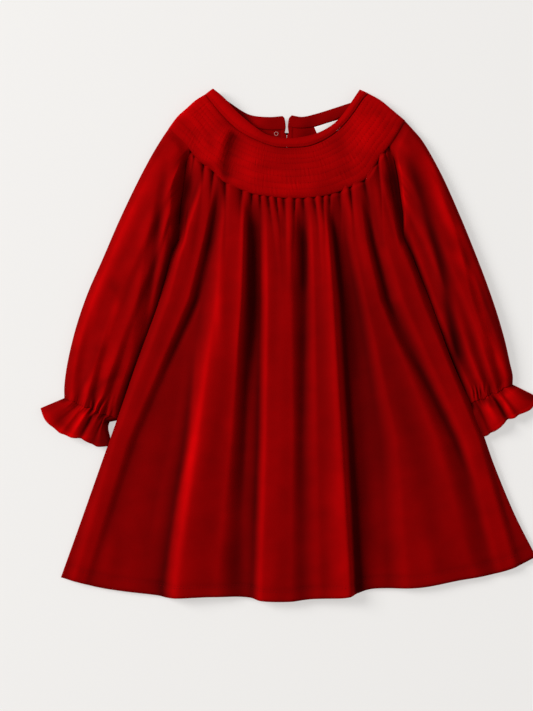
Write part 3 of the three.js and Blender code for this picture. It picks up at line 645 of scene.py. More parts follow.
@dataclass(frozen=True)
class Velvet(Finish):
    """Pile cloth, whose colour also carries painted light and shade: brighter on ridges as painted highlight
    and darker in troughs as painted shade.

    Attributes:
        bright: the colour of the velvet where its nap lies the other way.
        sheen: the strength of the sheen.
        sheen_roughness: how far it spreads.
        sheen_tint: its colour.
        brushed_from: the value of the noise where the nap starts to lie the other way.
        brushed_to: the value where all of it does.
    """

    bright: tuple[float, float, float] = (0.22, 0.0, 0.0003)
    sheen: float = 0.9
    sheen_roughness: float = 0.36
    sheen_tint: tuple[float, float, float] = (1.0, 0.0, 0.0)
    brushed_from: float = 0.3
    brushed_to: float = 0.72

    def dress(self, tree: bpy.types.NodeTree, shader: bpy.types.Node) -> None:
        """Adds the sheen, the unevenly brushed colour scaled by the painted light and shade, and the nap.

        Args:
            tree: the material's nodes.
            shader: its shader.
        """
        shader.inputs["Sheen Weight"].default_value = self.sheen
        shader.inputs["Sheen Roughness"].default_value = self.sheen_roughness
        shader.inputs["Sheen Tint"].default_value = (*self.sheen_tint, 1.0)
        brushed = noise_node(tree, scale=34.0, detail=3.0)
        ramp = tree.nodes.new("ShaderNodeValToRGB")
        stops = ((self.brushed_from, self.color), (self.brushed_to, self.bright))
        for element, (place, color) in zip(ramp.color_ramp.elements, stops):
            element.position = place
            element.color = (*color, 1.0)
        tree.links.new(brushed.outputs["Fac"], ramp.inputs["Fac"])
        # The colour is scaled by the painted light and shade that each point carries.
        painted_shading = tree.nodes.new("ShaderNodeAttribute")
        painted_shading.attribute_name = PAINTED_SHADING
        painted_shade_scale = tree.nodes.new("ShaderNodeVectorMath")
        painted_shade_scale.operation = "SCALE"
        tree.links.new(ramp.outputs["Color"], painted_shade_scale.inputs[0])
        tree.links.new(painted_shading.outputs["Fac"], painted_shade_scale.inputs["Scale"])
        tree.links.new(painted_shade_scale.outputs["Vector"], shader.inputs["Base Color"])
        nap = noise_node(tree, scale=1900.0, detail=2.0)
        raise_nap(tree, shader, nap, strength=0.35, distance=0.0004)


@dataclass(frozen=True)
class LitFloor(Finish):
    """A pale floor that glows a little, as over a light table, so that shadows on it stay soft.

    Attributes:
        glow: how much it glows.
        glow_color: the glow's colour.
    """

    glow: float = 0.51
    glow_color: tuple[float, float, float] = (1.0, 0.985, 0.965)

    def dress(self, tree: bpy.types.NodeTree, shader: bpy.types.Node) -> None:
        """Adds the glow."""
        shader.inputs["Emission Color"].default_value = (*self.glow_color, 1.0)
        shader.inputs["Emission Strength"].default_value = self.glow


@dataclass(frozen=True)
class Woven(Finish):
    """Plain tape with a fine weave."""

    def dress(self, tree: bpy.types.NodeTree, shader: bpy.types.Node) -> None:
        """Adds the weave."""
        weave = noise_node(tree, scale=1400.0, detail=1.0)
        raise_nap(tree, shader, weave, strength=0.25, distance=0.0003)


VELVET = Velvet("red velvet", (0.185, 0.0, 0.0002), 0.85, 0.02)
THREAD = Finish("red thread", (0.2, 0.0, 0.0015), 0.8, 0.05)
PALE_THREAD = Finish("pale thread", (0.5, 0.22, 0.2), 0.7)
TAPE = Woven("plain white tape", (0.86, 0.85, 0.82), 0.8)
BUTTON = Finish("red button", (0.24, 0.004, 0.006), 0.28)
FLOOR = LitFloor("pale floor", (0.36, 0.352, 0.344), 0.9, 0.1)


def mesh_object(
    name: str, points: Array, faces: Array, finish: Finish, painted_shading: Array | None = None
) -> bpy.types.Object:
    """Makes a smooth-shaded object.

    Args:
        name: its name.
        points: its points in millimetres of the drawing.
        faces: its faces, of one size.
        finish: its finish.
        painted_shading: the painted light and shade at each point, which scales its colour.

    Returns:
        The object.
    """
    mesh = bpy.data.meshes.new(name)
    shift = np.array([*ORIGIN_SHIFT, 0.0])
    mesh.from_pydata(((points + shift) * MM).tolist(), [], faces.tolist())
    mesh.polygons.foreach_set("use_smooth", [True] * len(faces))
    mesh.materials.append(finish.material())
    values = np.ones(len(points)) if painted_shading is None else painted_shading
    mesh.attributes.new(PAINTED_SHADING, "FLOAT", "POINT").data.foreach_set("value", values.astype(np.float32))
    mesh.update()
    made = bpy.data.objects.new(name, mesh)
    bpy.context.scene.collection.objects.link(made)
    return made


@dataclass(frozen=True)
class Flat:
    """How a piece of cloth was cut and how it is held.

    Attributes:
        size: the length and width of the flat piece, in millimetres.
        area: its area as a share of that rectangle.
        held: how it is held.
    """

    size: tuple[float, float]
    area: float
    held: Held = Held.LAID


@dataclass(frozen=True)
class FoldOrPaintedStreak:
    """A ridge or a trough of its own along a line that runs down the dress; the same shape also serves as a
    streak of painted highlight, or of painted shade, in a piece's colour.

    Attributes:
        name: what it is.
        line: its points from top to bottom.
        rise: its height, below 0 for a trough; for a painted streak, how much brighter the colour is, below
            0 for painted shade.
        left: its reach to the left.
        right: its reach to the right.
        fade: the share of its length over which each end fades.
    """

    name: str
    line: Points
    rise: float
    left: float
    right: float
    fade: float = 0.3

    def height(self, plan: Array) -> Array:
        """What it adds at each plan place.

        Args:
            plan: the plan places.

        Returns:
            The height that it adds.
        """
        x, y = Curve.through(self.line).dense[::-1].T
        level = plan[..., 1]
        slopes = np.gradient(x, y + 1e-6 * np.arange(len(y)))
        aside = (plan[..., 0] - np.interp(level, y, x)) / np.sqrt(1 + np.interp(level, y, slopes) ** 2)
        reach = np.where(aside < 0, self.left, self.right)
        share = (y[-1] - level) / (y[-1] - y[0])
        fade = smooth(share, -self.fade * 0.5, self.fade)
        fade = fade * (1 - smooth(share, 1 - self.fade, 1 + self.fade * 0.5))
        return self.rise * fade * np.exp(-((aside / reach) ** 2))


def folded(plan: Array, folds: Iterable[FoldOrPaintedStreak]) -> Array:
    """The sum of the folds at each plan place; summed over painted streaks, the painted light and shade
    there.
    """
    return sum((fold.height(plan) for fold in folds), np.zeros(plan.shape[:-1]))


def with_height(plan: Array, height: Array) -> Array:
    """Plan places and their heights as points."""
    return np.concatenate([plan, np.asarray(height)[..., None]], axis=-1)


def tucked(grid: Array, drop: float, reach: float, near: float, weight: Array | float = 1.0) -> Array:
    """A panel whose first row sinks and runs on under its neighbour.

    Args:
        grid: the panel's points, the row at the seam first.
        drop: how far it sinks.
        reach: how far it runs on.
        near: how far from the seam it starts to sink.
        weight: how much of both each column takes.

    Returns:
        The points with rows added at the seam.
    """
    steps = np.linalg.norm(np.diff(grid[..., :2], axis=0), axis=-1)
    away = np.concatenate([np.zeros((1, grid.shape[1])), np.cumsum(steps, axis=0)])
    sunk = grid.copy()
    sunk[..., 2] -= drop * weight * (1 - smooth(away, 0.0, near))
    outward = np.zeros_like(grid[0])
    outward[:, :2] = unit(grid[0, :, :2] - grid[3, :, :2])
    weights = np.broadcast_to(np.asarray(weight, float), grid.shape[1])[:, None]
    rows = [sunk[0] + outward * weights * reach * share for share in (1.0, 0.66, 0.33)]
    return np.concatenate([np.stack(rows), sunk])


@dataclass
class DressPiece:
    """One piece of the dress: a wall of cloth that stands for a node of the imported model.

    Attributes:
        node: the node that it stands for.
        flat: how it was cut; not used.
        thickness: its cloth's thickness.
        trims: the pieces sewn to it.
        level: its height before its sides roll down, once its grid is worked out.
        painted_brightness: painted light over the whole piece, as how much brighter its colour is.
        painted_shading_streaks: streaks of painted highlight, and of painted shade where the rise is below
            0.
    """

    node: str
    flat: Flat
    thickness: float = CLOTH
    trims: list[bpy.types.Object] = field(default_factory=list)
    level: Array | None = field(default=None, repr=False)
    painted_brightness: float = 1.0
    painted_shading_streaks: tuple[FoldOrPaintedStreak, ...] = ()

    closed = False

    def grid(self) -> Array:
        """The piece's outer points."""
        raise NotImplementedError

    def painted_light_and_shade(self, outer: Array) -> Array | float:
        """The painted light and shade: how much brighter its colour is than plain velvet's, with its painted
        streaks.
        """
        return self.painted_brightness + folded(outer[..., :2], self.painted_shading_streaks)

    def build(self) -> bpy.types.Object:
        """Makes the piece and hides its node.

        Returns:
            The piece.
        """
        outer = self.grid()
        wall = Wall(outer, self.thickness, self.closed, self.level, self.painted_light_and_shade(outer))
        made = mesh_object(self.node + "_cloth", wall.points(), wall.faces(), VELVET, wall.painted_shading())
        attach(made, "root")
        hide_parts(self.node)
        log.info("%s: %d faces", made.name, len(made.data.polygons))
        return made


# A side roll's section: how far in from the side, and how high when its panel is 10 high.
ROLL = Curve.through((
    (16, 0), (12, 0.2), (8, 1.1), (4.4, 2.9), (1.5, 5), (0.1, 7.3), (1.6, 9.2), (5, 9.85), (10, 10),
))


@dataclass
class FrontPanel(DressPiece):
    """A front panel: its rows cross the dress and roll down to the surface at both sides.

    Attributes:
        sheet: the plan place at a share across and a share down.
        row_length: the length of the row at a share down.
        open_until: the share of the side that stays open, as at an armhole.
        rows: how many rows of points it has.
        columns: how many points a row has between its rolls.
        roll_columns: how many points each roll has.
    """

    sheet: Sheet = Outline.skirt
    row_length: Callable[[Array], Array] = Outline.skirt_row
    open_until: float = -1.0
    rows: int = 175
    columns: int = 215
    roll_columns: int = 26

    def height(self, across: Array, down: Array) -> Array:
        """The cloth's height above the surface at the two shares."""
        raise NotImplementedError

    def downs(self) -> Array:
        """The rows' shares of the way down."""
        return np.linspace(0.0, 1.0, self.rows)

    def grid(self) -> Array:
        """The outer points, from the roll at the left to the roll at the right.

        Returns:
            The points, rows down and columns across.
        """
        down = self.downs()[:, None]
        length = self.row_length(down)
        closed = closing(down, self.open_until) if self.open_until > 0 else 1.0
        turn = np.linspace(0.0, 1.0, self.roll_columns)
        roll = ROLL.at(turn)
        inset = mix(turn * ROLL_INSET, roll[:, 0], closed) / length
        rise = np.broadcast_to(mix(1.0, np.maximum(roll[:, 1], 0) / 10, closed), inset.shape)
        middle = mix(ROLL_INSET / length, 1 - ROLL_INSET / length, np.linspace(0, 1, self.columns)[1:-1])
        down = np.broadcast_to(down, middle.shape)
        over = np.arange(self.roll_columns) >= int(np.argmin(roll[:, 0]))
        read = mix(inset, inset * over, closed)
        short = down[:, : self.roll_columns]
        levels = [self.height(read, short), self.height(middle, down)]
        levels.append(self.height(1 - read, short)[:, ::-1])
        self.level = np.concatenate(levels, axis=1)
        left = with_height(self.sheet(inset, short), levels[0] * rise)
        right = with_height(self.sheet(1 - inset[:, ::-1], short), levels[2] * rise[:, ::-1])
        centre = with_height(self.sheet(middle, down), levels[1])
        return np.concatenate([left, centre, right], axis=1)


@dataclass(frozen=True)
class PaintedHighlight:
    """A patch where the cloth is stretched and its pile is more open.

    Attributes:
        name: where it is.
        at: its middle.
        reach: how far it reaches across and down.
        rise: how much brighter the painted highlight makes the colour there.
    """

    name: str
    at: tuple[float, float]
    reach: tuple[float, float]
    rise: float

    def over(self, plan: Array) -> Array:
        """What it adds at each plan place."""
        x, y = (bell(plan[..., axis], self.at[axis], self.reach[axis]) for axis in (0, 1))
        return self.rise * x * y


# Painted highlights on the yoke: strongest at the left shoulder, softer along the middle of the seam and at
# the right shoulder.
YOKE_PAINTED_HIGHLIGHTS = (
    PaintedHighlight("left shoulder", (-102.0, 260.0), (24.0, 26.0), 0.7),
    PaintedHighlight("middle of the seam", (-12.0, 174.0), (46.0, 10.0), 0.3),
    PaintedHighlight("right shoulder", (96.0, 236.0), (34.0, 34.0), 0.42),
)
YOKE_ROWS = (0.05, 0.15, 0.26, 0.35, 0.47, 0.60, 0.73, 0.84, 0.95)  # the stitched rows
# Painted shade along the yoke's sharp dent, with painted highlight on either side of it.
YOKE_PAINTED_SHADING = (
    FoldOrPaintedStreak("sharp dent's shade", ((-62, 236), (-68, 212), (-71, 196), (-69, 172)), -0.6, 4, 7, 0.15),
    FoldOrPaintedStreak("light before it", ((-90, 244), (-96, 222), (-92, 200)), 0.25, 7, 7),
    FoldOrPaintedStreak("light after it", ((-44, 222), (-48, 200), (-46, 176)), 0.14, 8, 14),
)


@dataclass
class FrontYoke(FrontPanel):
    """The round yoke, quilted by rows of stitches that follow the neck.

    Attributes:
        row_relief: how deep the stitched rows lie.
        row_width: their half width, as a share of the yoke's depth.
        crinkle: how high the crinkles between them stand.
        crinkle_length: how far apart the closest of these are.
        crinkle_waves: how many waves make them up.
        yoke_length: the yoke's length along its middle.
        yoke_depth: its depth.
        folds: its dents and swells.
    """

    row_relief: float = 0.2
    row_width: float = 0.03
    crinkle: float = 0.09
    crinkle_length: float = 2.4
    crinkle_waves: int = 14
    yoke_length: float = 290.0
    yoke_depth: float = 58.0
    folds: tuple[FoldOrPaintedStreak, ...] = (
        FoldOrPaintedStreak("dent beside the shoulder", ((-118, 250), (-106, 236), (-96, 222)), -1.1, 7, 9),
        FoldOrPaintedStreak("dent under it", ((-104, 258), (-95, 244), (-86, 226), (-80, 208)), -0.9, 5, 8),
        FoldOrPaintedStreak("swell before the sharp dent", ((-68, 240), (-78, 212), (-84, 190)), 1.8, 12, 7),
        FoldOrPaintedStreak("sharp dent", ((-57, 236), (-63, 210), (-69, 180)), -2.2, 8, 13, 0.15),
        FoldOrPaintedStreak("swell after it", ((-38, 222), (-40, 200), (-42, 172)), 0.8, 9, 14),
        FoldOrPaintedStreak("soft dent at the middle", ((-8, 214), (-4, 190), (-6, 166)), -0.5, 14, 10),
        FoldOrPaintedStreak("swell right of the middle", ((22, 214), (26, 190), (28, 168)), 0.7, 12, 14),
        FoldOrPaintedStreak("soft dent at the right", ((54, 232), (62, 208), (66, 180)), -0.9, 12, 9),
        FoldOrPaintedStreak("swell at the right", ((74, 252), (86, 232), (92, 206)), 0.8, 9, 9),
        FoldOrPaintedStreak("dent at the right shoulder", ((98, 262), (106, 244), (110, 228)), -0.8, 7, 8),
    )

    def height(self, across: Array, down: Array) -> Array:
        """The domed cloth with its folds, stitched rows and upright crinkles.

        Args:
            across: the shares across.
            down: the shares down.

        Returns:
            The heights.
        """
        dome = arch(down)
        edge = mix(BODICE_HEIGHT - 1.2, SEAM_HEIGHT, down)
        plan = self.sheet(across, down)
        base = edge + (BODICE_HEIGHT + 1 - edge) * dome * 0.8
        base = base + folded(plan, self.folds) * smooth(dome, 0, 0.5)
        rim = smooth(down, 0.0, 0.045) * (1 - smooth(down, 0.955, 1.0))
        return base - 0.7 * (1 - rim) + self.quilting(across, down, plan) * rim

    def painted_light_and_shade(self, outer: Array) -> Array:
        """Painted light on the yoke: its colour is made brighter, most of all at the left shoulder.

        Args:
            outer: the yoke's points.

        Returns:
            How much brighter the painted light makes the colour, below 1 for painted shade.
        """
        plan = outer[..., :2]
        # Painted light: the painted highlights and streaks, highlight streaks that run across the yoke, and
        # a slow uneven painted brightness.
        whole = self.painted_brightness + sum(glow.over(plan) for glow in YOKE_PAINTED_HIGHLIGHTS) + folded(plan, self.painted_shading_streaks)
        streaks = 0.14 * wavering(plan * (0.35, 1.0), 12.0, 62)
        return whole + 0.12 * wavering(plan, 48.0, 61) + streaks

    def quilting(self, across: Array, down: Array, plan: Array) -> Array:
        """The grooves at the rows and the crinkles between them.

        Args:
            across: the shares across.
            down: the shares down.
            plan: the plan places.

        Returns:
            The relief.
        """
        uneven = 0.7 + 0.5 * np.clip(wavering(plan, 30.0, 6), -1, 1)
        groove = sum(bell(down, row, self.row_width) for row in YOKE_ROWS) * uneven
        along = across * self.yoke_length
        below = down * self.yoke_depth
        draws = np.random.default_rng(11)
        waves = np.zeros_like(along)
        for _ in range(self.crinkle_waves):
            length = self.crinkle_length * draws.uniform(0.7, 2.4)
            lean = draws.uniform(-0.3, 0.3)
            waves += np.cos(2 * math.pi * ((along + lean * below) / length + draws.uniform()))
        waves = waves / math.sqrt(self.crinkle_waves)
        strength = 0.55 + 0.6 * np.clip(wavering(plan, 26.0, 5), -0.7, 1)
        return -self.row_relief * groove + 0.1 + self.crinkle * waves * strength


@dataclass(frozen=True)
class Gather:
    """A pucker of the skirt at the yoke's seam.

    Attributes:
        valley: x of the pinched valley at its left.
        ridge: x of its rounded top.
        rise: its height.
        run: how far down it runs, as a share of the skirt.
    """

    valley: float
    ridge: float
    rise: float
    run: float


HEM_GROOVES = ((0.966, 0.006), (0.972, 0.003))  # where two rows press the hem down, and how widely
HEM_STITCHES = (0.969, 0.975)  # where their stitches lie, as shares of the way down
GATHERS = (
    Gather(-104.0, -99.0, 1.5, 0.045), Gather(-94.0, -89.0, 1.8, 0.06), Gather(-83.5, -77.0, 1.8, 0.06),
    Gather(-70.4, -63.8, 1.9, 0.1), Gather(-51.7, -46.2, 1.6, 0.05), Gather(-40.7, -34.1, 1.4, 0.035),
    Gather(-31.9, -27.5, 1.5, 0.05), Gather(-23.1, -18.7, 1.7, 0.09), Gather(-14.3, -11.0, 1.4, 0.04),
    Gather(-5.5, 1.1, 1.9, 0.1), Gather(6.6, 9.9, 1.3, 0.035), Gather(15.4, 20.9, 1.5, 0.06),
    Gather(27.5, 31.9, 1.8, 0.1), Gather(37.4, 40.7, 1.3, 0.035), Gather(45.1, 48.4, 1.3, 0.045),
    Gather(56.1, 62.7, 2.2, 0.09), Gather(67.1, 72.6, 2.1, 0.07), Gather(82.5, 88.0, 2.3, 0.09),
    Gather(97.9, 101.0, 1.9, 0.07), Gather(106.0, 109.0, 1.6, 0.05),
)
# Painted light and shade on the skirt's colour: painted shadow in the armhole hollow and the gap beside the
# sleeves, painted shade along valleys, pleats and the darker folds, and painted highlight on the bright
# ridge and the wide fold.
SKIRT_PAINTED_SHADING = (
    FoldOrPaintedStreak("left armhole hollow", ((-108, 196), (-116, 162), (-123, 124), (-132, 90)), -0.72, 12, 5, 0.25),
    FoldOrPaintedStreak("right armhole gap", ((112, 208), (125, 139), (140, 93), (153, 60)), -0.85, 4.5, 12, 0.2),
    FoldOrPaintedStreak("right valley", ((62, 110), (78, 40), (90, -60), (106, -180)), -0.36, 12, 16),
    FoldOrPaintedStreak("broad fold", ((96, 80), (120, -20), (146, -160)), -0.22, 24, 26),
    FoldOrPaintedStreak("long fold", ((34, 100), (42, -20), (52, -160)), -0.18, 11, 11),
    FoldOrPaintedStreak("left fold", ((-120, 60), (-150, -30), (-184, -120)), -0.1, 14, 18),
    FoldOrPaintedStreak("wide fold", ((-60, 110), (-66, 20), (-82, -100)), 0.08, 12, 10),
    FoldOrPaintedStreak("bright ridge", ((-68, 96), (-75, 58), (-93, -46), (-112, -145), (-120, -205)), 0.4, 5, 8, 0.25),
    FoldOrPaintedStreak("wide valley", ((-41, 172), (-39, 130), (-39, 60), (-42, -20)), -0.2, 5, 7, 0.1),
    FoldOrPaintedStreak("centre valley", ((14, 170), (16, 130), (16, 60)), -0.2, 3, 5, 0.1),
    FoldOrPaintedStreak("valley beside the long fold", ((46, 172), (54, 120), (62, 60), (72, -40)), -0.25, 4, 9, 0.1),
    FoldOrPaintedStreak("pleat at the left", ((-77, 186), (-82, 150), (-93, 100)), -0.25, 3, 5, 0.1),
    FoldOrPaintedStreak("pleats at the right", ((84, 188), (92, 150), (104, 104)), -0.25, 4, 5, 0.1),
)


@dataclass
class FrontSkirt(FrontPanel):
    """The gathered front of the skirt with its long folds."""

    armhole_height: float = 4.7  # of its open edge beside the sleeve
    fold_share: float = 0.85  # how much of its single folds' height it takes
    hem_groove: float = 0.35
    folds: tuple[FoldOrPaintedStreak, ...] = (
        FoldOrPaintedStreak("left edge, inner dark line", ((-74, 178), (-90, 90), (-101, 49), (-138, -32)), -1.4, 5, 3.5),
        FoldOrPaintedStreak("left edge crease", ((-97, 120), (-116, 60), (-146, -20), (-176, -96)), -0.9, 6, 8),
        FoldOrPaintedStreak("left edge soft fold", ((-150, -20), (-176, -90), (-205, -160), (-226, -222)), 1.0, 9, 12),
        FoldOrPaintedStreak("low ridge beside the left fold", ((-72, 104), (-76, 60), (-77, 8)), 2.0, 5, 6),
        FoldOrPaintedStreak("bright ridge", ((-98, 16), (-108, -116), (-119, -171), (-133, -268)), 3.0, 5.5, 16, 0.2),
        FoldOrPaintedStreak("valley before it", ((-118, 0), (-128, -80), (-146, -160), (-160, -240)), -1.2, 14, 7),
        FoldOrPaintedStreak("wide fold's crest", ((-66, 90), (-72, 0), (-84, -90), (-100, -200)), 1.0, 12, 14),
        FoldOrPaintedStreak("wide fold's inner trough", ((-60, 20), (-72, -70), (-88, -150)), -0.7, 8, 9),
        FoldOrPaintedStreak("crease in the wide valley", ((-36, 150), (-38, 60), (-40, -20)), -1.4, 5, 6),
        FoldOrPaintedStreak("ridge in the wide valley", ((-40, -60), (-46, -140), (-50, -230)), 1.1, 6, 8),
        FoldOrPaintedStreak("centre fold's left trough", ((-14, 120), (-14, 40), (-18, -40)), -0.8, 7, 8),
        FoldOrPaintedStreak("centre fold's ridge", ((-4, 60), (-8, -60), (-12, -190)), 1.0, 9, 11),
        FoldOrPaintedStreak("centre valley, deepest", ((17, 128), (18, 96), (17, 58)), -2.4, 4.5, 4.5),
        FoldOrPaintedStreak("centre trough, lower", ((16, 40), (14, -60), (12, -170)), -1.2, 6, 9),
        FoldOrPaintedStreak("long fold's lip", ((46, 121), (53, 52), (58, -25), (62.4, -98), (69, -208), (73, -272)),
             1.3, 8, 2.6, 0.12),
        FoldOrPaintedStreak("long fold's trough", ((36, 30), (42, -60), (48, -160)), -0.9, 9, 8),
        FoldOrPaintedStreak("valley right of the long fold", ((60, 100), (70, 20), (80, -80), (88, -200)), -1.5, 8, 10),
        FoldOrPaintedStreak("ridge in the right valley", ((86, 60), (96, -20), (104, -110), (112, -220)), 1.2, 8, 9),
        FoldOrPaintedStreak("broad fold's trough", ((104, 10), (132, -80), (156, -170), (168, -240)), -1.3, 12, 14),
        FoldOrPaintedStreak("broad fold's ridge", ((112, 40), (148, -60), (178, -150)), 1.0, 11, 9),
        FoldOrPaintedStreak("right dark line", ((93, 110), (104, 66), (119, 15), (148, -36), (178, -95), (210, -170)),
             -1.6, 4, 5),
        FoldOrPaintedStreak("right edge crease", ((118, 100), (136, 40), (164, -30), (196, -110)), -1.0, 7, 6),
        FoldOrPaintedStreak("right edge soft fold", ((178, -50), (206, -120), (232, -200)), 1.0, 10, 8),
        FoldOrPaintedStreak("left underarm hollow", ((-101, 200), (-114, 166), (-121, 140), (-129, 108)), -3.6, 9, 7, 0.25),
        FoldOrPaintedStreak("left edge's upper ridge", ((-84, 194), (-99, 159), (-111, 126), (-126, 88)), 1.6, 5, 10, 0.25),
        FoldOrPaintedStreak("right underarm hollow", ((110, 204), (119, 164), (126, 132), (136, 102)), -3.6, 7, 9, 0.25),
        FoldOrPaintedStreak("right edge's upper ridge", ((98, 198), (108, 156), (117, 122), (130, 84)), 2.0, 8, 3.5, 0.25),
        FoldOrPaintedStreak("pleat beside the left valley", ((-90, 186), (-98, 140), (-108, 84)), -0.9, 4, 5),
        FoldOrPaintedStreak("wide fold's right edge", ((-47, 172), (-49, 120), (-51, 60), (-58, -20)), 1.8, 7, 2.2, 0.2),
        FoldOrPaintedStreak("wide valley's depth", ((-41, 164), (-40, 110), (-40, 40), (-44, -40)), -1.8, 3, 6),
        FoldOrPaintedStreak("centre fold's left edge", ((-29, 162), (-28, 110), (-28, 40)), 0.6, 2.6, 7),
        FoldOrPaintedStreak("centre fold's small crease", ((-9, 158), (-7, 138), (-4, 112)), -1.2, 3, 4),
        FoldOrPaintedStreak("centre fold's right edge", ((7, 158), (8, 130), (9, 70)), 1.5, 8, 2.6),
        FoldOrPaintedStreak("fold before the long one", ((24, 158), (26, 120), (30, 60)), 0.9, 5, 7),
        FoldOrPaintedStreak("long fold's start", ((37, 160), (42, 126), (48, 80)), 0.5, 6, 3),
        FoldOrPaintedStreak("dark beside the long fold", ((42, 158), (49, 110), (58, 40)), -1.4, 3, 5),
        FoldOrPaintedStreak("right pleat", ((58, 166), (70, 120), (82, 66)), -1.3, 4, 5),
        FoldOrPaintedStreak("second right pleat", ((76, 176), (92, 120), (106, 60)), -1.2, 4, 4),
        FoldOrPaintedStreak("ridge between them", ((68, 170), (80, 120), (92, 66)), 1.0, 5, 5),
        FoldOrPaintedStreak("last right pleat", ((94, 196), (108, 150), (120, 104)), -1.2, 4, 4),
        FoldOrPaintedStreak("hem ripple 1", ((-196, -210), (-204, -268)), 1.0, 9, 9, 0.4),
        FoldOrPaintedStreak("hem ripple 2", ((-56, -216), (-62, -279)), -0.9, 9, 8, 0.4),
        FoldOrPaintedStreak("hem ripple 3", ((-16, -220), (-20, -281)), 0.9, 8, 10, 0.4),
        FoldOrPaintedStreak("hem ripple 4", ((40, -220), (42, -279)), -0.8, 9, 8, 0.4),
        FoldOrPaintedStreak("hem ripple 5", ((146, -206), (160, -266)), 0.9, 11, 9, 0.4),
        FoldOrPaintedStreak("hem ripple 6", ((196, -200), (214, -256)), -0.8, 8, 9, 0.4),
    )

    def downs(self) -> Array:
        """Rows that lie closer where the cloth is gathered."""
        even = np.linspace(0.0, 1.0, self.rows)
        return even * (0.55 + 0.45 * even)

    def height(self, across: Array, down: Array) -> Array:
        """The creases, the folds and the gathers under the yoke.

        Args:
            across: the shares across.
            down: the shares down.

        Returns:
            The heights.
        """
        plan = self.sheet(across, down)
        fold = height_between(SKIRT_CREASES, CREASE_LEVELS, plan[..., 0], plan[..., 1])
        fold = fold + self.fold_share * folded(plan, self.folds)
        fold = fold + 0.35 * wavering(plan, 70.0, 3) + 0.15 * wavering(plan, 24.0, 4)
        side = np.minimum(across, 1 - across) * 12
        inside = mix(SEAM_HEIGHT, fold, smooth(down, 0.0, 0.085))
        inside = inside + self.gathers(across, down) * np.minimum(1.0, side * 2)
        open_edge = mix(self.armhole_height, inside, smooth(side, 0.0, 0.6))
        height = mix(open_edge, inside, closing(down, UNDERARM))
        return height - self.hem_groove * sum(bell(down, *groove) for groove in HEM_GROOVES)

    def gathers(self, across: Array, down: Array) -> Array:
        """The puckers at the seam, with round tops and pinched valleys between them.

        Args:
            across: the shares across.
            down: the shares down.

        Returns:
            The height that they add.
        """
        across, down = np.broadcast_arrays(across, down)
        shares = [Outline.skirt_seam.share_at_x(x) for each in GATHERS for x in (each.valley, each.ridge)]
        leaning = across + 0.25 * down * wavering(np.stack([across * 300, down * 0], -1), 30.0, 41)
        phase = np.interp(leaning, [0.0, *shares, 1.0], np.arange(len(shares) + 2) - 1)
        pinch = np.abs((phase + 1) % 2 - 1)
        which = np.clip(np.floor(phase / 2).astype(int), 0, len(GATHERS) - 1)
        rise = np.array([each.rise for each in GATHERS])[which]
        run = np.array([each.run for each in GATHERS])[which]
        top = 1 - (1 - pinch) ** 2.4
        gap = 0.5 + 1.7 * (1 - top) * np.exp(-((down / (0.4 * run + 0.015)) ** 2))
        return 1.25 * rise * top * np.exp(-((down / run) ** 1.4)) - gap * np.exp(-((down / 0.05) ** 2))

    def grid(self) -> Array:
        """The panel with its seam tucked under the yoke."""
        return tucked(super().grid(), drop=1.9, reach=3.0, near=4.0)


BAND_STITCHES = 0.78  # where the row of stitches lies on the neck band
# Painted highlight at both ends of the neck band.
BAND_PAINTED_SHADING = (
    FoldOrPaintedStreak("left end", ((-94, 290), (-84, 272), (-62, 248), (-44, 226)), 0.4, 12, 12),
    FoldOrPaintedStreak("right end", ((84, 288), (74, 270), (60, 250), (46, 228)), 0.25, 10, 12),
)


@dataclass
class FrontBand(FrontPanel):
    """The front of the narrow bound neck."""

    def height(self, across: Array, down: Array) -> Array:
        """A crowned band with small puckers across it.

        Args:
            across: the shares across.
            down: the shares down.

        Returns:
            The heights.
        """
        plan = self.sheet(across, down)
        along = across * self.row_length(down)
        crown = 0.9 * arch(down) + 0.4
        pucker = 0.1 * np.sin(along / 1.9 + 2 * wavering(plan, 18.0, 8)) * wavering(plan, 25.0, 9)
        stitched = -0.22 * bell(down, BAND_STITCHES, 0.05)
        return BODICE_HEIGHT - 1.2 + crown + (pucker + stitched) * arch(down)


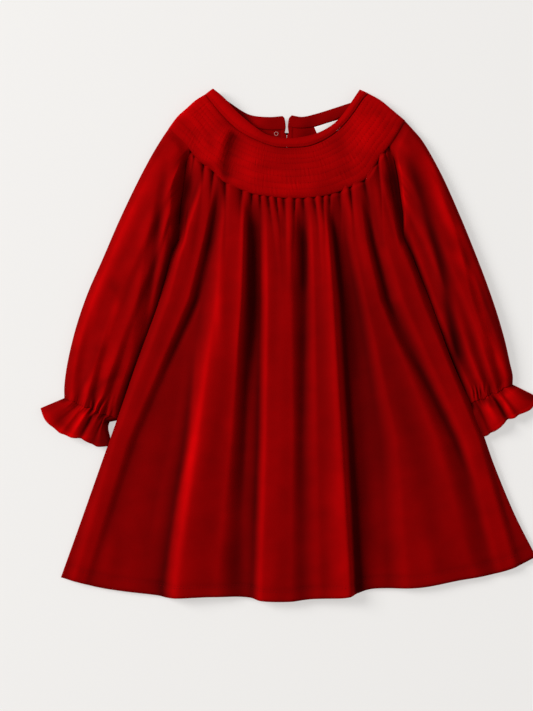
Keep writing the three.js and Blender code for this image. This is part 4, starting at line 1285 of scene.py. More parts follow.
class BackSide:
    """One half of the back's edges: the neck, the band's seam, the yoke's seam and the slit."""

    def __init__(self, side: Side) -> None:
        """Works out the half's curves.

        Args:
            side: which half.
        """
        self.side = side
        shares = np.linspace(0.0, 1.0, 61)
        self.yoke_end = Curve(self.roll_end(Outline.yoke, Outline.yoke_row, shares))
        self.band_end = Curve(self.roll_end(Outline.band, Outline.band_row, shares))
        self.top = Curve.through((tuple(self.band_end.at(0.0)), *BACK_NECK[side]))
        self.under = Curve.through((tuple(self.band_end.at(1.0)), *BACK_BAND[side]))
        start = (FLANGE + SEAM_GAP) / Outline.yoke_seam.length
        if side is Side.LEFT:
            sleeve_seam = Outline.yoke_seam.part(start, ARMHOLE_LEFT)
        else:
            sleeve_seam = Outline.yoke_seam.part(1 - start, 1 - ARMHOLE_LEFT)
        corner = sleeve_seam.at(1.0)
        self.skirt_seam = Curve.through((
            tuple(corner),
            (corner[0] * 0.76, mix(corner[1], BACK_SEAM_Y, 0.6)),
            (corner[0] * 0.4, mix(corner[1], BACK_SEAM_Y, 0.92)),
            (SLIT_X + side.value * SLIT_HALVES[-1], BACK_SEAM_Y),
        ))
        self.seam = sleeve_seam.joined(self.skirt_seam)

    def roll_end(self, sheet: Sheet, row_length: Callable[[Array], Array], down: Array) -> Array:
        """Where a front panel's roll ends on the surface."""
        inset = (FLANGE + SEAM_GAP) / row_length(down)
        return sheet(inset if self.side is Side.LEFT else 1 - inset, down)

    def slit(self, top: float, bottom: float) -> Curve:
        """The slit's edge between two levels.

        Args:
            top: y of the upper level.
            bottom: y of the lower one.

        Returns:
            The edge.
        """
        y = np.linspace(top, bottom, 120)
        half = np.interp(y, SLIT_LEVELS[::-1], SLIT_HALVES[::-1])
        return Curve(np.stack([SLIT_X + self.side.value * half, y], axis=-1))


def lift_at(plan: Array) -> Array:
    """How far the button under the cloth lifts it."""
    away = np.hypot(plan[..., 0] - BUTTON_AT[0], plan[..., 1] - BUTTON_AT[1])
    return (BUTTON_THICKNESS + LOOP_THICKNESS + BUTTON_ROOM) * (1 - smooth(away, *LIFT_REACH))


@dataclass
class BackHalf(DressPiece):
    """A half of the back above the skirt, flat on the surface and lifted round the button.

    Attributes:
        side: which half.
        is_band: whether it is the band's half, and not the yoke's.
        rows: how many rows of points it has.
        columns: how many points a row has.
    """

    side: Side = Side.LEFT
    is_band: bool = False
    rows: int = 44
    columns: int = 100

    def grid(self) -> Array:
        """The half's outer points.

        Returns:
            The points, rows down and columns across.
        """
        parts = BackSide(self.side)
        if self.is_band:
            edge = parts.band_end
            slit = parts.slit(parts.top.at(1.0)[1], parts.under.at(1.0)[1])
            sheet = sheet_between(parts.top, parts.under, edge, slit)
        else:
            share = np.linspace(0, 1, 61)
            moved = parts.under.at(0.0) - parts.yoke_end.at(0.0)
            edge = Curve(parts.yoke_end.at(share) + moved * (1 - share)[:, None])
            slit = parts.slit(parts.under.at(1.0)[1], BACK_SEAM_Y)
            sheet = sheet_between(parts.under, parts.seam, edge, slit)
        across, down = np.meshgrid(np.linspace(0, 1, self.columns), np.linspace(0, 1, self.rows))
        plan = sheet(across if self.side is Side.LEFT else 1 - across, down)
        if not self.is_band:
            plan = plan + np.stack([np.zeros_like(down), SEAM_LAP * (1 - down) ** 8], -1)
        return with_height(plan, self.thickness + lift_at(plan) + self.relief(plan, down))

    def relief(self, plan: Array, down: Array) -> Array:
        """The soft creases and the band's crown, or the yoke's turned strip beside the slit.

        Args:
            plan: the plan places.
            down: the shares down.

        Returns:
            The relief.
        """
        inside = arch(down) ** 0.5
        soft = 0.25 * (1 + wavering(plan, 26.0, 21)) * inside
        if self.is_band:
            return soft + 0.45 * inside
        beside = np.abs(plan[..., 0] - SLIT_X)
        strip = 0.5 * (1 - smooth(beside, 5.5, 7.0))
        groove = -0.25 * bell(beside, 6.4, 0.6)
        return strip + groove + soft


@dataclass
class BackSkirt(DressPiece):
    """The skirt's back, flat on the surface under the front.

    Attributes:
        rows: how many rows of points it has.
        columns: how many points a row has.
        hem_inset: how far its hem lies above the front's.
    """

    rows: int = 110
    columns: int = 130
    hem_inset: float = 3.0

    def grid(self) -> Array:
        """Rows from the back yoke's seam to the hem, each between the ends of the front's rolls.

        Returns:
            The points, rows down and columns across.
        """
        left, right = BackSide(Side.LEFT).skirt_seam, BackSide(Side.RIGHT).skirt_seam
        seam = left.joined(Curve(right.dense[::-1]))
        below = np.array([0.0, -SEAM_GAP])
        down = np.linspace(0.0, 1.0, 200)
        hem = Curve(Outline.hem.part(0.035, 0.965).dense + np.array([0.0, self.hem_inset]))
        sides = []
        for at_left in (True, False):
            length = Outline.skirt_row(down)
            inset = (FLANGE * smooth(down, UNDERARM, UNDERARM + 0.06) + SEAM_GAP) / length
            edge = Outline.skirt(inset if at_left else 1 - inset, down)
            ends = (seam.at(0.0) + below, hem.at(0.0)) if at_left else (seam.at(1.0) + below, hem.at(1.0))
            share = down[:, None]
            edge = edge + (ends[0] - edge[0]) * (1 - share) ** 6 + (ends[1] - edge[-1]) * share**6
            sides.append(Curve(edge))
        sheet = sheet_between(Curve(seam.dense + below), hem, *sides)
        across, rows = np.meshgrid(np.linspace(0, 1, self.columns), np.linspace(0, 1, self.rows))
        plan = sheet(across, rows)
        soft = 0.3 * (1 + wavering(plan, 60.0, 31)) * arch(across) * arch(rows)
        return with_height(plan, self.thickness + soft)


class SleeveForm:
    """The paths across one sleeve and its ruffle, from the armhole to the ruffle's edge."""

    def __init__(self, side: Side) -> None:
        """Works out the sleeve's paths.

        Args:
            side: which sleeve.
        """
        self.side = side
        seam = Outline.yoke_seam
        along = seam.part(0.0, ARMHOLE_LEFT) if side is Side.LEFT else seam.part(1.0, ARMHOLE_RIGHT)
        edge = Outline.side_left if side is Side.LEFT else Outline.side_right
        self.armhole = along.joined(edge.part(0.0, UNDERARM))
        self.turn = along.length / self.armhole.length
        stations = SLEEVE_STATIONS[side]
        count = len(stations)
        places = np.linspace(0, 1, count)
        outer = Curve.through([station[0] for station in stations])
        inner = Curve.through([station[1] for station in stations])
        self.ends = [
            self._by_station(curve, np.array([station[end] for station in stations]), places)
            for end, curve in ((0, outer), (1, inner))
        ]
        self.bend_places = places
        self.bend = np.array([*ARMHOLE_BEND, *[0] * (count - len(ARMHOLE_BEND))], float)
        self.edge = Curve.through(RUFFLE_EDGES[side])

    @staticmethod
    def _by_station(curve: Curve, points: Array, places: Array) -> Callable[[Array], Array]:
        """A reader of the curve by the share of the stations.

        Args:
            curve: the curve through the stations' points.
            points: those points.
            places: the share of each.

        Returns:
            The reader.
        """
        nearest = [int(np.argmin(np.hypot(*(curve.dense - point).T))) for point in points]
        shares = curve.along[nearest] / curve.length
        return lambda along: curve.at(np.interp(along, places, shares))

    def sleeve(self, across: Array, along: Array) -> Array:
        """The plan place at a share across and a share along the sleeve.

        Args:
            across: the shares across.
            along: the shares along.

        Returns:
            The plan places.
        """
        start, end = (reader(along) for reader in self.ends)
        share = across[..., None]
        bend = np.interp(along, self.bend_places, self.bend)[..., None]
        chord = mix(self.armhole.at(0.0), self.armhole.at(1.0), share)
        return mix(start, end, share) + (self.armhole.at(across) - chord) * bend

    def ruffle(self, across: Array, along: Array) -> Array:
        """The plan place at a share across and a share along the ruffle."""
        gather = self.sleeve(across, np.ones_like(along))
        return mix(gather, self.edge.at(across), along[..., None])

    def wander(self, across: Array) -> Array:
        """How far the gathered line wanders, towards the ruffle's edge or away from it.

        Args:
            across: the shares across.

        Returns:
            The way that it has gone.
        """
        toward = unit(self.edge.at(across) - self.sleeve(across, np.ones_like(across)))
        reach = 1.2 * np.sin(2 * math.pi * 3.1 * across + 1) + 0.8 * np.sin(2 * math.pi * 7.3 * across + 2)
        return toward * (reach * arch(across))[..., None]


# A sleeve's side in section: how far in, and how high when its top is 10 high.
TUBE_SIDE = Curve.through(((9, 0), (4, 0.6), (0.9, 3), (0, 5.2), (0.9, 7.6), (4, 9.8), (9, 10)))


@dataclass
class Tube(DressPiece):
    """A flattened tube that is open at both ends, with its underside flat on the surface.

    Attributes:
        form: the sleeve's paths.
        rows: how many rings of points it has.
        top_columns: how many points lie across its top.
        side_columns: how many round each side.
        under_columns: how many across its underside.
    """

    form: SleeveForm = field(default_factory=lambda: SleeveForm(Side.LEFT))
    rows: int = 150
    top_columns: int = 140
    side_columns: int = 16
    under_columns: int = 14
    closed = True

    def place(self, across: Array, along: Array) -> Array:
        """The plan place at the two shares."""
        raise NotImplementedError

    def height(self, across: Array, along: Array) -> Array:
        """The top's height at the two shares."""
        raise NotImplementedError

    def tuck(self, grid: Array, weight: Array) -> Array:
        """The tube with its first end tucked under its neighbour."""
        raise NotImplementedError

    def grid(self) -> Array:
        """Rings from the first end to the last, each from the outer side over the top and back.

        Returns:
            The points, a ring in each row.
        """
        along = np.linspace(0.0, 1.0, self.rows)[:, None]
        probe = np.linspace(0.0, 1.0, 60)[None, :]
        path = self.place(*np.broadcast_arrays(probe, along))
        length = np.linalg.norm(np.diff(path, axis=1), axis=-1).sum(axis=1)[:, None]
        side = TUBE_SIDE.at(np.linspace(0.0, 1.0, self.side_columns))
        inset = np.minimum(side[:, 0] / length, 0.4)
        share = np.maximum(side[:, 1], 0) / 10
        first = inset[:, -1:]
        top = mix(first, 1 - first, np.linspace(0, 1, self.top_columns)[1:-1])
        under = mix(1 - first, first, np.linspace(0, 1, self.under_columns)[1:-1])
        across = np.concatenate([inset, top, (1 - inset)[:, ::-1], under], axis=1)
        ones = np.ones(self.top_columns - 2)
        rise = np.concatenate([share, ones, share[::-1], np.zeros(self.under_columns - 2)])
        along = np.broadcast_to(along, across.shape)
        self.level = self.height(across, along)
        grid = with_height(self.place(across, along), self.level * rise)
        grid = self.tuck(grid, smooth(rise, 0.45, 0.95))
        if self.form.side is Side.LEFT:
            return grid
        self.level = self.level[:, ::-1]
        return grid[:, ::-1]


SLEEVE_FOLDS: dict[Side, tuple[FoldOrPaintedStreak, ...]] = {
    Side.LEFT: (
        FoldOrPaintedStreak("inner ridge", ((-126, 186), (-132, 152), (-137, 104), (-150, 27), (-164, -17)), 1.8, 6, 4.5),
        FoldOrPaintedStreak("inner valley", ((-136, 178), (-141, 152), (-147, 96), (-157, 27), (-169, -17)), -2.0, 5, 4),
        FoldOrPaintedStreak("second ridge", ((-144, 186), (-150, 152), (-160, 96), (-170, 27), (-176, -17)), 1.5, 9, 5),
        FoldOrPaintedStreak("middle valley", ((-176, 80), (-192, 40), (-203, 6), (-210, -30)), -1.6, 11, 6),
        FoldOrPaintedStreak("third ridge", ((-182, 60), (-194, 20), (-204, -17), (-208, -48)), 1.5, 7, 7),
        FoldOrPaintedStreak("outer swell", ((-150, 200), (-184, 120), (-214, 40), (-226, -10)), 1.4, 16, 18),
        FoldOrPaintedStreak("outer dip", ((-216, 30), (-226, -6), (-232, -40)), -1.1, 6, 8),
        FoldOrPaintedStreak("elbow pinch", ((-196, 74), (-186, 56), (-180, 38)), -1.0, 7, 9, 0.4),
    ),
    Side.RIGHT: (
        FoldOrPaintedStreak("inner ridge", ((126, 186), (132, 152), (155, 104), (172, 30), (183, -17)), 0.7, 5, 8),
        FoldOrPaintedStreak("shaded side", ((128, 176), (144, 112), (162, 58), (182, 6), (196, -34)), -4.6, 10, 9, 0.2),
        FoldOrPaintedStreak("inner valley", ((138, 178), (150, 152), (164, 104), (178, 36), (187, -17)), -1.9, 5, 6),
        FoldOrPaintedStreak("middle ridge", ((150, 196), (172, 152), (187, 104), (201, 45), (220, -10)), 2.2, 10, 4.5),
        FoldOrPaintedStreak("outer dip", ((178, 146), (196, 98), (213, 46), (228, 0)), -1.9, 5, 8),
        FoldOrPaintedStreak("outer ridge", ((170, 172), (192, 124), (212, 74), (230, 14)), 0.9, 7, 6),
        FoldOrPaintedStreak("lower trough", ((186, 80), (200, 30), (206, -20)), -1.2, 8, 7),
        FoldOrPaintedStreak("elbow pinch", ((176, 96), (188, 78), (196, 62)), -0.9, 8, 9, 0.4),
    ),
}
# Painted light and shade on the sleeves' colour: painted highlight on the rims, ridges and outer half,
# painted shade in the valleys and corners, and painted shadow in the armhole hollow, the gap beside the
# skirt and the right sleeve's dark middle.
SLEEVE_PAINTED_SHADING: dict[Side, tuple[FoldOrPaintedStreak, ...]] = {
    Side.LEFT: (
        FoldOrPaintedStreak("rim", ((-153, 196), (-191, 110), (-225, 30), (-244, -26), (-247, -60)), 0.35, 12, 8, 0.15),
        FoldOrPaintedStreak("outer valley", ((-236, 6), (-240, -29), (-241, -54)), -0.25, 4, 4),
        FoldOrPaintedStreak("ridge", ((-212, 40), (-219, 10), (-225, -14), (-229, -39), (-237, -58)), 0.3, 5, 3.5, 0.2),
        FoldOrPaintedStreak("middle valley", ((-208, 6), (-219, -34), (-227, -44), (-233, -64)), -0.32, 6, 5, 0.2),
        FoldOrPaintedStreak("strong ridge", ((-186, 60), (-196, 12), (-199, -8), (-212, -30), (-223, -48), (-231, -66)),
             0.42, 4, 9, 0.2),
        FoldOrPaintedStreak("low valley", ((-184, -28), (-210, -48), (-217, -61), (-221, -75)), -0.32, 4, 5),
        FoldOrPaintedStreak("inner corner", ((-172, -30), (-186, -61), (-198, -84)), -0.34, 6, 7),
        FoldOrPaintedStreak("upper dark streak", ((-133, 192), (-139, 150), (-147, 92), (-162, 30)), -0.4, 7, 5),
        FoldOrPaintedStreak("armhole hollow", ((-115, 176), (-123, 130), (-132, 92), (-146, 50)), -0.78, 5.5, 12),
        FoldOrPaintedStreak("outer half", ((-140, 222), (-168, 162), (-200, 92), (-222, 30)), 0.22, 22, 18, 0.15),
        FoldOrPaintedStreak("shoulder ridge", ((-130, 216), (-133, 180), (-136, 140), (-142, 96)), 0.2, 4, 4),
    ),
    Side.RIGHT: (
        FoldOrPaintedStreak("strip beside the gap", ((118, 224), (124, 180), (137, 124), (152, 72)), 0.2, 5, 6, 0.15),
        FoldOrPaintedStreak("gap", ((106, 206), (120, 139), (136, 92), (148, 60)), -0.85, 10, 5.5, 0.2),
        FoldOrPaintedStreak("middle dark", ((132, 206), (149, 149), (167, 88), (173, 56), (182, 8), (190, -34)),
             -0.68, 6, 8, 0.12),
        FoldOrPaintedStreak("upper ridge", ((146, 218), (157, 196), (172, 144), (187, 118), (190, 96)), 0.75, 7, 4, 0.2),
        FoldOrPaintedStreak("lower ridge", ((186, 100), (205, 65), (217, 15), (230, -18), (238, -38)), 0.75, 6, 3, 0.15),
        FoldOrPaintedStreak("outer dark", ((204, 78), (213, 54), (225, 22), (234, -8)), -0.55, 3, 5),
        FoldOrPaintedStreak("inner corner", ((176, 20), (187, -30), (205, -60)), -0.25, 9, 9),
    ),
}


@dataclass
class Sleeve(Tube):
    """A full sleeve, gathered into the armhole and into its wrist.

    Attributes:
        underarm_reach: how far its inner side runs in under the skirt.
        shoulder_gathers: how many gathers there are at the shoulder.
        shoulder_rise: how high these stand.
        wrist_puckers: how many puckers there are at the wrist.
        wrist_rise: how high these stand.
        small_puckers: how many small ones there are at the elastic.
        small_rise: how high these stand.
        elastic_depth: how far the elastic draws the cloth down.
    """

    underarm_reach: float = 4.0
    shoulder_gathers: float = 9.0
    shoulder_rise: float = 1.2
    wrist_puckers: float = 6.0
    wrist_rise: float = 1.8
    small_puckers: float = 23.0
    small_rise: float = 0.18
    elastic_depth: float = 0.4

    def place(self, across: Array, along: Array) -> Array:
        """The plan place at the two shares, with the underarm run in under the skirt.

        Args:
            across: the shares across.
            along: the shares along.

        Returns:
            The plan places.
        """
        plan = self.form.sleeve(across, along)
        plan = plan + self.form.wander(across) * smooth(along, 0.9, 1.0)[..., None]
        reach = self.underarm_reach * smooth(across, 0.75, 0.98) * bell(along, 0.06, 0.14)
        return plan - np.stack([self.form.side.value * reach, np.zeros_like(reach)], -1)

    def height(self, across: Array, along: Array) -> Array:
        """The folds, and the gathers at the shoulder and at the wrist.

        Args:
            across: the shares across.
            along: the shares along.

        Returns:
            The heights.
        """
        plan = self.place(across, along)
        fade = arch(across)
        creased = height_between(SLEEVE_CREASES, SLEEVE_LEVELS, across, along)
        domed = mix(10.5, 15.5, fade**0.8) - 4.0 * smooth(across, 0.75, 1.0)
        full = mix(creased, domed, 0.6 * smooth(along, 0.02, 0.15) * (1 - smooth(along, 0.5, 0.9)))
        full = full + folded(plan, SLEEVE_FOLDS[self.form.side]) * fade**0.4
        full = full + 0.2 * wavering(plan, 40.0, 12) + 0.08 * wavering(plan, 16.0, 13)
        turn = self.form.turn
        shoulder = (1 - smooth(along, 0.02, 0.2)) * (1 - smooth(across, turn, turn + 0.5))
        turns = self.shoulder_gathers * across + 0.6 * np.sin(11 * across + 3 * along)
        gathers = self.shoulder_rise * shoulder * np.cos(2 * math.pi * turns)
        uneven = 0.6 + 0.7 * wavering(plan, 22.0, 16)
        wrist = smooth(along, 0.8, 1.0) ** 1.5
        drift = 0.9 * np.sin(7.0 * across + 1.0) + 0.5 * wavering(plan, 34.0, 17)
        puckers = self.wrist_rise * wrist * np.cos(2 * math.pi * (self.wrist_puckers * across + drift))
        full = full + fade * uneven * (gathers + puckers)
        edge = mix(SEAM_HEIGHT - 1.5, 3.1, smooth(across, turn * 0.9, turn + 0.14))
        rise = 0.07 if self.form.side is Side.RIGHT else mix(0.07, 0.17, smooth(across, turn, turn + 0.2))
        height = mix(edge, full, smooth(along / rise, 0.0, 1.0))
        small = np.cos(2 * math.pi * self.small_puckers * across + 3 * wavering(plan, 20.0, 18))
        elastic = smooth(along, 0.93, 1.0)
        return height + elastic * fade * (self.small_rise * small - self.elastic_depth)

    def tuck(self, grid: Array, weight: Array) -> Array:
        """The sleeve with its top tucked under the yoke and the skirt.

        Args:
            grid: the sleeve's points.
            weight: how much each column is tucked.

        Returns:
            The points with rows added at the seam.
        """
        inner = np.arange(len(weight)) > self.side_columns + self.top_columns // 2
        low = smooth(grid[3, :, 2], 0.2, 1.6)
        return tucked(grid, drop=0.0, reach=3.0, near=2.0, weight=np.where(inner, low, weight))


@dataclass(frozen=True)
class Lobe:
    """One wave of a ruffle.

    Attributes:
        at: its place across the ruffle.
        rise: its height, below 0 for a trough.
        width: its half width, as a share of the ruffle's.
        lean: how far it drifts towards the inner side on its way to the edge.
    """

    at: float
    rise: float
    width: float
    lean: float


RUFFLE_LOBES: dict[Side, tuple[Lobe, ...]] = {
    Side.LEFT: (
        Lobe(0.13, 1.8, 0.1, 0.0), Lobe(0.27, -1.5, 0.05, 0.02), Lobe(0.35, 1.1, 0.035, 0.04),
        Lobe(0.47, 3.4, 0.055, 0.06), Lobe(0.57, -2.4, 0.03, 0.06), Lobe(0.66, 1.6, 0.05, 0.04),
        Lobe(0.77, -1.4, 0.035, 0.03), Lobe(0.85, 1.2, 0.05, 0.0),
    ),
    Side.RIGHT: (
        Lobe(0.14, 2.8, 0.12, 0.06), Lobe(0.3, -1.4, 0.04, 0.08), Lobe(0.37, 2.6, 0.05, 0.08),
        Lobe(0.48, -3.6, 0.035, 0.06), Lobe(0.68, 3.2, 0.09, 0.0), Lobe(0.82, -2.0, 0.035, 0.02),
        Lobe(0.9, 1.2, 0.04, 0.0),
    ),
}
# Painted light and shade on the ruffles' colour: painted highlight on the lobes and outer rims, and painted
# shade in the creases, the dark patches, the dim part and the inner ends.
RUFFLE_PAINTED_SHADING: dict[Side, tuple[FoldOrPaintedStreak, ...]] = {
    Side.LEFT: (
        FoldOrPaintedStreak("bright folded lobe", ((-221, -66), (-230, -80), (-235, -92), (-229, -104)), 0.5, 6, 7, 0.1),
        FoldOrPaintedStreak("groove beside it", ((-216, -66), (-220, -80), (-222, -92)), -0.4, 3, 4),
        FoldOrPaintedStreak("outer rim", ((-276, -66), (-266, -84), (-252, -96), (-234, -104)), 0.8, 7, 6, 0.1),
        FoldOrPaintedStreak("dim right part", ((-212, -74), (-212, -92), (-212, -110)), -0.25, 9, 8, 0.15),
        FoldOrPaintedStreak("dark patch", ((-246, -66), (-251, -80), (-251, -92)), -0.3, 9, 9, 0.2),
        FoldOrPaintedStreak("inner end", ((-200, -72), (-201, -90), (-203, -118)), -0.5, 9, 12, 0.1),
    ),
    Side.RIGHT: (
        FoldOrPaintedStreak("bright outer lobe", ((239, -48), (239, -66), (240, -84)), 0.45, 3, 10, 0.15),
        FoldOrPaintedStreak("dark patch", ((248, -50), (258, -57), (267, -62)), -0.25, 6, 7, 0.15),
        FoldOrPaintedStreak("outer rim", ((276, -62), (266, -74), (250, -80)), 0.3, 5, 5, 0.15),
        FoldOrPaintedStreak("crease", ((218, -58), (228, -66), (237, -80)), -0.5, 5, 6, 0.15),
        FoldOrPaintedStreak("second lobe", ((217, -68), (223, -80), (224, -94)), 0.4, 4, 9, 0.15),
        FoldOrPaintedStreak("inner end", ((204, -56), (208, -76), (212, -104)), -0.6, 9, 5, 0.1),
    ),
}


@dataclass
class Ruffle(Tube):
    """The wavy ruffle beyond the gathered wrist.

    Attributes:
        sleeve_part: the sleeve that it is sewn to.
        clearance: how far the inner end swings clear of the skirt below the gathers.
        edge_swing: how far the edge swings out for each millimetre of a lobe, as a share.
        edge_share: how much of a lobe's height is left at the edge.
        ripples: how many small ripples there are at the gathers.
        ripple_rise: how high these stand.
        flare: how far the cloth stands up between the gathers and the edge.
        hem_rise: how high the turned hem stands.
    """

    sleeve_part: Sleeve | None = None
    clearance: float = 0.0
    edge_swing: float = 0.01
    edge_share: float = 0.6
    ripples: float = 13.0
    ripple_rise: float = 0.4
    flare: float = 1.4
    hem_rise: float = 0.35

    def waves(self, across: Array, along: Array) -> Array:
        """The lobes, which widen from the gathers to the edge.

        Args:
            across: the shares across.
            along: the shares along.

        Returns:
            Their heights.
        """
        return sum(
            each.rise * bell(across, each.at + each.lean * along, each.width * (0.6 + 0.5 * along))
            for each in RUFFLE_LOBES[self.form.side]
        )

    def place(self, across: Array, along: Array) -> Array:
        """The plan place at the two shares; the edge swings out at a raised lobe.

        Args:
            across: the shares across.
            along: the shares along.

        Returns:
            The plan places.
        """
        plan = self.form.ruffle(across, along + self.edge_swing * self.waves(across, along) * along**2)
        plan = plan + self.form.wander(across) * (1 - smooth(along, 0.0, 0.3))[..., None]
        clear = smooth(across, 0.72, 0.97) * smooth(along, 0.0, 0.1) * (1 - smooth(along, 0.15, 1.0))
        aside = self.form.side.value * self.clearance * clear
        return plan + np.stack([aside, np.zeros_like(aside)], -1)

    def height(self, across: Array, along: Array) -> Array:
        """Waves that grow from the gathers to the edge, with a narrow turned hem.

        Args:
            across: the shares across.
            along: the shares along.

        Returns:
            The heights.
        """
        start = self.sleeve_part.height(across, np.ones_like(along)) - SEAM_GAP
        level = np.interp(across, (0, 0.3, 1), (8, 10.5, 8))
        ripples = np.cos(2 * math.pi * self.ripples * across + 5 * np.sin(6 * across)) * (1 - along) ** 4
        swell = mix(1.0, self.edge_share, smooth(along, 0.35, 1.0))
        waves = mix(0.7, 1.0, along) * swell * self.waves(across, along)
        full = level + self.flare * arch(along) + arch(across) ** 0.5 * (waves + self.ripple_rise * ripples)
        hem = self.hem_rise * smooth(along, 0.88, 0.93)
        return mix(start, full, smooth(along, 0.0, 0.3)) + hem

    def tuck(self, grid: Array, weight: Array) -> Array:
        """The ruffle with its gathered end tucked under the sleeve's."""
        return tucked(grid, drop=0.6, reach=1.6, near=1.5, weight=weight)


def tube_quads(rings: int, sides: int, closed: bool) -> Array:
    """The quads of a thread.

    Args:
        rings: how many rings of points it has.
        sides: how many points a ring has.
        closed: whether the last ring meets the first one.

    Returns:
        The quads, one a row.
    """
    spans = rings if closed else rings - 1
    ring, spoke = np.meshgrid(np.arange(spans), np.arange(sides), indexing="ij")
    here, there = ring * sides, (ring + 1) % rings * sides
    after = (spoke + 1) % sides
    return np.stack([here + spoke, there + spoke, there + after, here + after], -1).reshape(-1, 4)


@dataclass(frozen=True)
class Stitching:
    """A way of sewing.

    Attributes:
        length: one stitch's length.
        gap: the gap to the next one.
        radius: the thread's half width.
        rings: how many rings of points a stitch has.
        sides: how many points a ring has.
    """

    length: float
    gap: float
    radius: float
    rings: int = 5
    sides: int = 6

    def along(self, line: Array) -> tuple[Array, Array]:
        """The ends of the stitches along a line.

        Args:
            line: its points.

        Returns:
            The stitches' starts and their ends.
        """
        away = np.concatenate([[0.0], np.cumsum(np.linalg.norm(np.diff(line, axis=0), axis=1))])
        starts = np.arange(self.gap, away[-1] - self.length, self.length + self.gap)
        start, end = (
            np.stack([np.interp(at, away, values) for values in line.T], -1)
            for at in (starts, starts + self.length)
        )
        return start, end

    def sew(self, name: str, lines: Iterable[Array], finish: Finish) -> bpy.types.Object:
        """Makes the stitches along several lines as one piece.

        Args:
            name: the piece's name.
            lines: points on the cloth, in millimetres.
            finish: the thread's finish.

        Returns:
            The piece.
        """
        ends = zip(*(self.along(line) for line in lines))
        start, end = (np.concatenate(each)[:, None, None] for each in ends)
        share = np.linspace(0, 1, self.rings)[None, :, None, None]
        turn = np.linspace(0, 2 * math.pi, self.sides, endpoint=False)[None, None, :, None]
        swell = np.sqrt(np.maximum(1 - (2 * share - 1) ** 4, 0.08))
        forward = unit(end - start)
        aside = unit(np.cross(forward, (0.0, 0.0, 1.0)))
        up = np.cross(aside, forward)
        middle = mix(start, end, share) + up * self.radius * (1.3 * arch(share) - 0.35)
        points = middle + (aside * np.cos(turn) + up * np.sin(turn)) * self.radius * swell
        first = (np.arange(len(points)) * self.rings * self.sides)[:, None, None]
        quads = (first + tube_quads(self.rings, self.sides, False)).reshape(-1, 4)
        made = mesh_object(name, points.reshape(-1, 3), quads, finish)
        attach(made, "root")
        return made


def on_panel(panel: FrontPanel, across: Array, down: float) -> Array:
    """Points on a front panel at the given shares."""
    across, down = np.broadcast_arrays(across, down)
    return with_height(panel.sheet(across, down), panel.height(across, down))


class Sewing:
    """The dress's stitch lines."""

    hem_stitch = Stitching(2.6, 0.9, 0.16)
    yoke_stitch = Stitching(2.0, 0.8, 0.1)

    def hem_rows(self, skirt: FrontSkirt) -> bpy.types.Object:
        """The twin row above the front hem.

        Args:
            skirt: the front skirt.

        Returns:
            The stitches.
        """
        across = np.linspace(0.03, 0.97, 900)
        lines = [on_panel(skirt, across, row) for row in HEM_STITCHES]
        return self.hem_stitch.sew("hem_stitches", lines, THREAD)

    def yoke_rows(self, yoke: FrontYoke) -> bpy.types.Object:
        """The rows that quilt the yoke.

        Args:
            yoke: the front yoke.

        Returns:
            The stitches.
        """
        across = np.linspace(0.035, 0.965, 900)
        lines = [on_panel(yoke, across, row) for row in YOKE_ROWS]
        return self.yoke_stitch.sew("yoke_stitches", lines, THREAD)

    def band_row(self, band: FrontBand) -> bpy.types.Object:
        """The row along the neck band."""
        lines = [on_panel(band, np.linspace(0.04, 0.96, 700), BAND_STITCHES)]
        return self.yoke_stitch.sew("neckband_stitches", lines, THREAD)


@dataclass
class NeckLabel:
    """The bare tape sewn inside the back neck.

    Attributes:
        columns: how many points lie across it.
        rows: how many down it.
        thickness: the tape's.
        rise: how far its underside lies over the neck band.
    """

    columns: int = 60
    rows: int = 26
    thickness: float = 0.6
    rise: float = 0.6

    def build(self) -> bpy.types.Object:
        """Makes the tape.

        Returns:
            The tape.
        """
        corners = [np.asarray(corner, float) for corner in LABEL]
        across, down = np.meshgrid(np.linspace(0, 1, self.columns), np.linspace(0, 1, self.rows))
        across, down = across[..., None], down[..., None]
        plan = mix(mix(corners[0], corners[1], across), mix(corners[3], corners[2], across), down)
        curl = 0.5 * arch(across[..., 0]) * down[..., 0] + 0.25 * np.sin(5.1 * across[..., 0])
        height = BACK_BAND_CLOTH + self.rise + self.thickness + curl
        wall = Wall(with_height(plan, height), self.thickness)
        made = mesh_object("neck_label_tape", wall.points(), wall.faces(), TAPE)
        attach(made, "root")
        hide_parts("neck_label")
        return made


@dataclass
class ThreadRing:
    """The pale ring of thread where the button is sewn on.

    Attributes:
        radius: the ring's.
        thread: the thread's half width.
        height: how high it lies.
        steps: how many rings of points it has.
        sides: how many points each has.
    """

    radius: float = 2.0
    thread: float = 0.26
    height: float = 5.4
    steps: int = 72
    sides: int = 10

    def build(self) -> bpy.types.Object:
        """Makes the ring.

        Returns:
            The ring.
        """
        turn = np.linspace(0, 2 * math.pi, self.steps, endpoint=False)[:, None]
        round_it = np.linspace(0, 2 * math.pi, self.sides, endpoint=False)[None, :]
        width = self.radius * (1 + 0.08 * np.sin(3 * turn)) + self.thread * np.cos(round_it)
        level = self.height + self.thread * np.sin(round_it) + 0.15 * np.sin(2 * turn)
        x = BUTTON_AT[0] + width * np.cos(turn)
        y = BUTTON_AT[1] + width * np.sin(turn)
        points = np.stack([x, y, level], -1).reshape(-1, 3)
        made = mesh_object("button_thread", points, tube_quads(self.steps, self.sides, True), PALE_THREAD)
        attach(made, "root")
        return made


def keep_node(node: str, finish: Finish) -> None:
    """Gives a node that is kept as it is a finish through its object's slots.

    Args:
        node: the node.
        finish: its finish.
    """
    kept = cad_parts[node]
    for place in kept.material_slots:
        place.link = "OBJECT"
        place.material = finish.material()


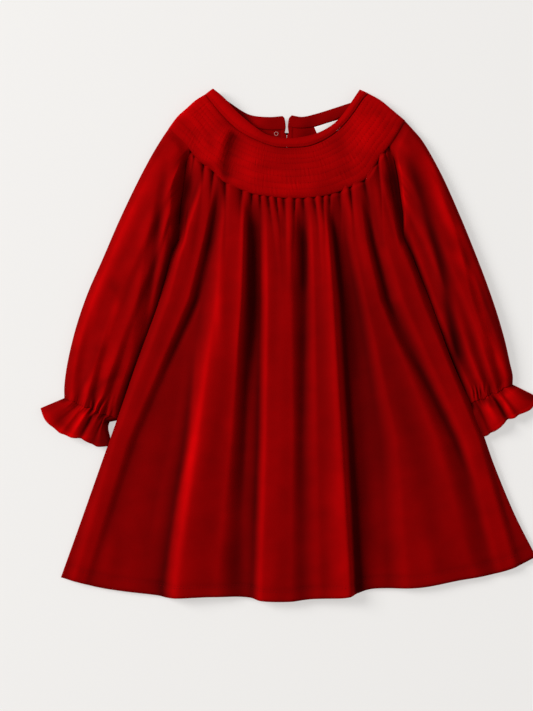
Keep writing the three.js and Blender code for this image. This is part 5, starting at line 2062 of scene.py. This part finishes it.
@dataclass(frozen=True)
class Lamp:
    """A square studio light that faces the dress.

    Attributes:
        name: its name.
        place: where it hangs, in metres.
        size: its side.
        power: its power in watts.
    """

    name: str
    place: tuple[float, float, float]
    size: float
    power: float

    def hang(self) -> None:
        """Makes the light and turns it to the dress."""
        light = bpy.data.lights.new(self.name, "AREA")
        light.energy = self.power
        light.size = self.size
        lamp = bpy.data.objects.new(self.name, light)
        lamp.location = self.place
        x, y, z = self.place
        lamp.rotation_euler = (math.atan2(math.hypot(x, y), z), 0.0, math.atan2(-y, -x) - math.pi / 2)
        bpy.context.scene.collection.objects.link(lamp)


@dataclass(frozen=True)
class Studio:
    """The floor, the lights and the camera over the dress.

    Attributes:
        lamps: the lights.
        room_light: how strong the light from all round is.
        room_color: its colour.
        floor_reach: how far the floor runs each way, in millimetres.
        floor_level: how high it lies.
        camera_at: where the camera hangs, in metres.
        lens: its lens in millimetres.
        sensor: its sensor's width.
    """

    lamps: tuple[Lamp, ...] = (
        Lamp("key", (-4.7, 2.0, 3.2), 2.6, 440.0),
        Lamp("fill", (1.6, -0.6, 2.6), 2.4, 10.0),
    )
    room_light: float = 0.3
    room_color: tuple[float, float, float] = (1.0, 0.985, 0.97)
    floor_reach: float = 20000.0
    floor_level: float = -0.2
    camera_at: tuple[float, float, float] = (-0.02415, -0.0116, 1.857)
    lens: float = 85.0
    sensor: float = 36.0

    def build(self) -> None:
        """Makes the floor, the lights, the surrounding light and the camera."""
        signs = ((-1, -1), (1, -1), (1, 1), (-1, 1))
        corners = [(x * self.floor_reach, y * self.floor_reach, self.floor_level) for x, y in signs]
        floor = mesh_object("floor", np.array(corners), np.array([[0, 1, 2, 3]]), FLOOR)
        for lamp in self.lamps:
            lamp.hang()
        world = bpy.data.worlds.new("soft room")
        world.use_nodes = True
        background = world.node_tree.nodes["Background"]
        background.inputs["Color"].default_value = (*self.room_color, 1.0)
        background.inputs["Strength"].default_value = self.room_light
        bpy.context.scene.world = world
        camera = bpy.data.objects.new("camera", bpy.data.cameras.new("camera"))
        camera.data.lens = self.lens
        camera.data.sensor_width = self.sensor
        camera.location = self.camera_at
        bpy.context.scene.collection.objects.link(camera)
        bpy.context.scene.camera = camera


def main() -> None:
    """Builds the dress, its sewing and the studio in order."""
    logging.basicConfig(level=logging.INFO, format="%(message)s")
    # The brightness factors given below paint light into each piece's colour: the yoke, the band and the
    # ruffles brighter than plain velvet.
    yoke = FrontYoke(
        "front_yoke", Flat((290, 75), 0.8, Held.GATHERED), painted_brightness=1.38, painted_shading_streaks=YOKE_PAINTED_SHADING,
        sheet=Outline.yoke, row_length=Outline.yoke_row, rows=88, columns=450,
    )
    skirt = FrontSkirt(
        "front_skirt", Flat((600, 470), 0.66, Held.GATHERED), painted_shading_streaks=SKIRT_PAINTED_SHADING, open_until=UNDERARM,
    )
    band = FrontBand(
        "neckband_front", Flat((235, 12), 0.92), BAND_CLOTH, painted_brightness=1.35, painted_shading_streaks=BAND_PAINTED_SHADING,
        sheet=Outline.band, row_length=Outline.band_row, rows=26, columns=280,
    )
    forms = {side: SleeveForm(side) for side in Side}
    pieces: list[DressPiece] = [yoke, skirt, band]
    for side in Side:
        # Painted light: the left sleeve, on the lamp's side, is painted brighter than the right.
        sleeve = Sleeve(
            "sleeve_" + side.word, Flat((250, 215), 0.8, Held.GATHERED),
            painted_brightness=1.16 if side is Side.LEFT else 1.04, painted_shading_streaks=SLEEVE_PAINTED_SHADING[side], form=forms[side],
        )
        ruffle = Ruffle(
            "wrist_ruffle_" + side.word, Flat((150, 42), 0.85, Held.GATHERED),
            painted_brightness=1.22, painted_shading_streaks=RUFFLE_PAINTED_SHADING[side], form=forms[side],
            sleeve_part=sleeve, clearance=10.0 if side is Side.LEFT else 0.0, rows=50, top_columns=180,
        )
        pieces += [sleeve, ruffle]
        pieces.append(BackHalf("back_yoke_" + side.word, Flat((120, 60), 0.82), side=side))
        pieces.append(BackHalf(
            "neckband_back_" + side.word, Flat((75, 14), 0.9), BACK_BAND_CLOTH,
            side=side, is_band=True, rows=30,
        ))
    pieces.append(BackSkirt("back_skirt", Flat((530, 500), 0.6)))
    sewing = Sewing()
    yoke.trims.append(sewing.yoke_rows(yoke))
    skirt.trims.append(sewing.hem_rows(skirt))
    band.trims.append(sewing.band_row(band))
    for piece in pieces:
        piece.build()
    NeckLabel().build()
    ThreadRing().build()
    keep_node("back_button", BUTTON)
    keep_node("button_loop", VELVET)
    Studio().build()
    bpy.context.scene.view_settings.view_transform = "Standard"


if __name__ == "__main__":
    main()
